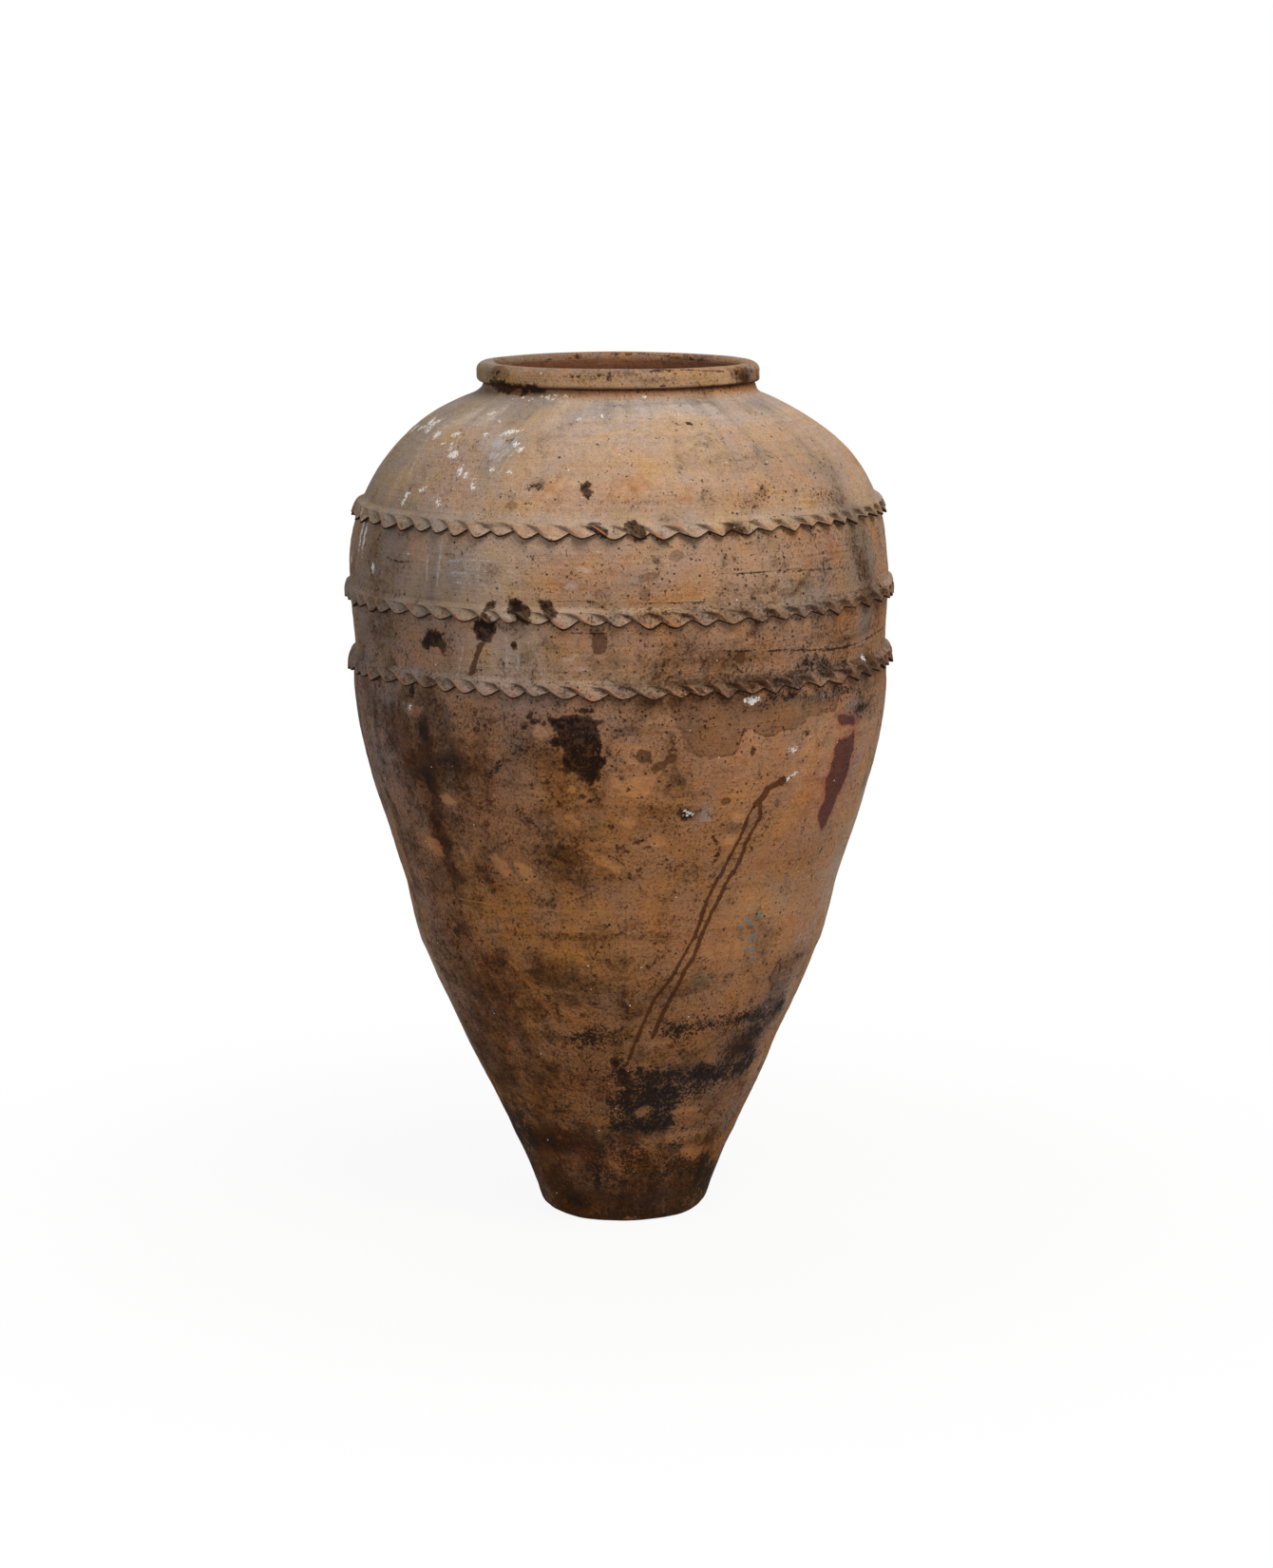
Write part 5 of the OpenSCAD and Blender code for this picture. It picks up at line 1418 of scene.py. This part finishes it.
coat = add(tree, "ShaderNodeMix", {0: 1.0, 6: coat, 7: tint}, data_type="RGBA",
           blend_type="OVERLAY").outputs[2]
throat = add(tree, "ShaderNodeMix", {0: noise["cloud"], 6: linear("#4E2D20"), 7: linear("#7C4B37")},
             data_type="RGBA").outputs[2]
coat = add(tree, "ShaderNodeMix", {0: field["inside"], 6: coat, 7: throat}, data_type="RGBA").outputs[2]
print("weathered terracotta:", len(tree.nodes), "nodes so far")

# %% [markdown]
# ## Grain and gloss
# The clay is coarse, so its surface catches light in specks of one or two millimetres, and the wheel left
# fine lines. Tar is smoother than clay and shines a little.

# %% Finish the clay
RELIEF = [("grit", 0.25), ("fine", 0.5), ("wipe", 0.3), ("mottle", 0.6)]
TAR_HEIGHT, PIT_HEIGHT = 0.5, -0.8
relief = 0.0
heights = [(noise[name], share) for name, share in RELIEF] + [(cover["tar"], TAR_HEIGHT), (pit, PIT_HEIGHT)]
for source, share in heights:
    relief = add(tree, "ShaderNodeMath", {0: source, 1: share, 2: relief},
                 operation="MULTIPLY_ADD").outputs[0]
skin_bump = add(tree, "ShaderNodeBump", {"Strength": 0.9, "Distance": 1.4 * MM, "Height": relief}).outputs[0]
gloss = add(tree, "ShaderNodeMapRange", {"Value": cover["tar"], "To Min": 0.88, "To Max": 0.6}).outputs[0]
shade = add(tree, "ShaderNodeBsdfPrincipled", {
    "Base Color": coat, "Roughness": gloss, "Normal": skin_bump, "IOR": 1.5, "Specular IOR Level": 0.05})
add(tree, "ShaderNodeOutputMaterial", {"Surface": shade.outputs[0]})
print("weathered terracotta:", len(tree.nodes), "nodes")

# %% [markdown]
# ## Setting the pieces in the frame
# Each finished mesh becomes a piece at the origin, rides on the jar's one body and stands for its CAD node.

# %% Place the pieces
SLOTS = {
    "foot_clay": ["base_slab", "foot_lift"],
    "wall_clay": ["lower_lift", "middle_lift", "lower_belly_ring", "upper_belly_ring"],
    "shoulder_clay": ["shoulder", "neck_collar", "rim"],
    "rope_clay": ["lower_rope", "middle_rope", "upper_rope"],
}
for slot_name, members in SLOTS.items():
    for node in members:
        mesh = walls[node] if node in walls else ropes[node]
        mesh.name = node + "_clay"
        piece = bpy.data.objects.new(node + "_clay", mesh)
        bpy.context.scene.collection.objects.link(piece)
        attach(piece, "root")
        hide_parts(node)

# %% [markdown]
# ## Studio
# A pale floor, a white backdrop for the camera alone, a large soft light above the front, a weak one on the
# left, one behind for the views from there, and the world as fill. The floor keeps the jar's shadow, because
# only part of what the camera sees there is its own glow.

# %% Light the jar
FLOOR_HALF = 30.0
SHADOW_NEAR, SHADOW_FAR, NEAR_GLOW = 0.25, 1.1, 0.92
AIM = Vector((0, 0, 0.55))
LIGHTS = [
    # name, place, size, power and colour
    ("sky_light", (1.05, -1.75, 3.2), 1.7, 84, "#FFFAF2"),
    ("side_light", (-2.6, -1.8, 1.6), 2.0, 12, "#EEF2FF"),
    ("back_light", (-0.4, 2.6, 2.4), 2.0, 26, "#F6F6FA"),
]
scene = bpy.context.scene
scene.view_settings.view_transform = "Standard"


def seen_directly(tree):
    """1 for what the camera sees straight, in a mirror or through glass."""
    path = add(tree, "ShaderNodeLightPath").outputs
    seen = add(tree, "ShaderNodeMath", {0: path["Is Camera Ray"], 1: path["Is Glossy Ray"]}, operation="ADD")
    return add(tree, "ShaderNodeMath", {0: seen.outputs[0], 1: path["Is Transmission Ray"]}, operation="ADD",
               use_clamp=True).outputs[0]


floor_mesh = bpy.data.meshes.new("floor")
corners = [(x * FLOOR_HALF, y * FLOOR_HALF, 0) for x, y in [(-1, -1), (1, -1), (1, 1), (-1, 1)]]
floor_mesh.from_pydata(corners, [], [(0, 1, 2, 3)])
floor = bpy.data.objects.new("floor", floor_mesh)
scene.collection.objects.link(floor)
pale_floor = bpy.data.materials.new("pale_floor")
pale_floor.use_nodes = True
tree = pale_floor.node_tree
tree.nodes.clear()
middle = add(tree, "ShaderNodeTexCoord").outputs["Object"]
away = add(tree, "ShaderNodeVectorMath", {0: middle}, operation="LENGTH").outputs["Value"]
share = add(tree, "ShaderNodeMapRange", {
    "Value": away, "From Min": SHADOW_NEAR, "From Max": SHADOW_FAR, "To Min": NEAR_GLOW, "To Max": 1.0},
    interpolation_type="SMOOTHSTEP").outputs[0]
seen = add(tree, "ShaderNodeMath", {0: seen_directly(tree), 1: share}, operation="MULTIPLY").outputs[0]
matte = add(tree, "ShaderNodeBsdfDiffuse", {"Color": linear("#DAD8D4")}).outputs[0]
glow = add(tree, "ShaderNodeEmission", {"Color": (1, 1, 1, 1), "Strength": 1.0}).outputs[0]
both = add(tree, "ShaderNodeMixShader", {0: seen, 1: matte, 2: glow}).outputs[0]
add(tree, "ShaderNodeOutputMaterial", {"Surface": both})
floor_mesh.materials.append(pale_floor)

world = bpy.data.worlds.new("studio")
scene.world = world
world.use_nodes = True
tree = world.node_tree
tree.nodes.clear()
fill = add(tree, "ShaderNodeBackground", {"Color": linear("#F2F4F8"), "Strength": 0.40}).outputs[0]
white = add(tree, "ShaderNodeBackground", {"Color": (1, 1, 1, 1), "Strength": 1.0}).outputs[0]
both = add(tree, "ShaderNodeMixShader", {0: seen_directly(tree), 1: fill, 2: white}).outputs[0]
add(tree, "ShaderNodeOutputWorld", {"Surface": both})

for name, spot, size, power, colour in LIGHTS:
    data = bpy.data.lights.new(name, "AREA")
    data.size = size
    data.energy = power
    data.color = linear(colour)[:3]
    lamp = bpy.data.objects.new(name, data)
    scene.collection.objects.link(lamp)
    lamp.location = spot
    lamp.rotation_euler = (AIM - Vector(spot)).to_track_quat("-Z", "Y").to_euler()
print("lights:", [row[0] for row in LIGHTS])
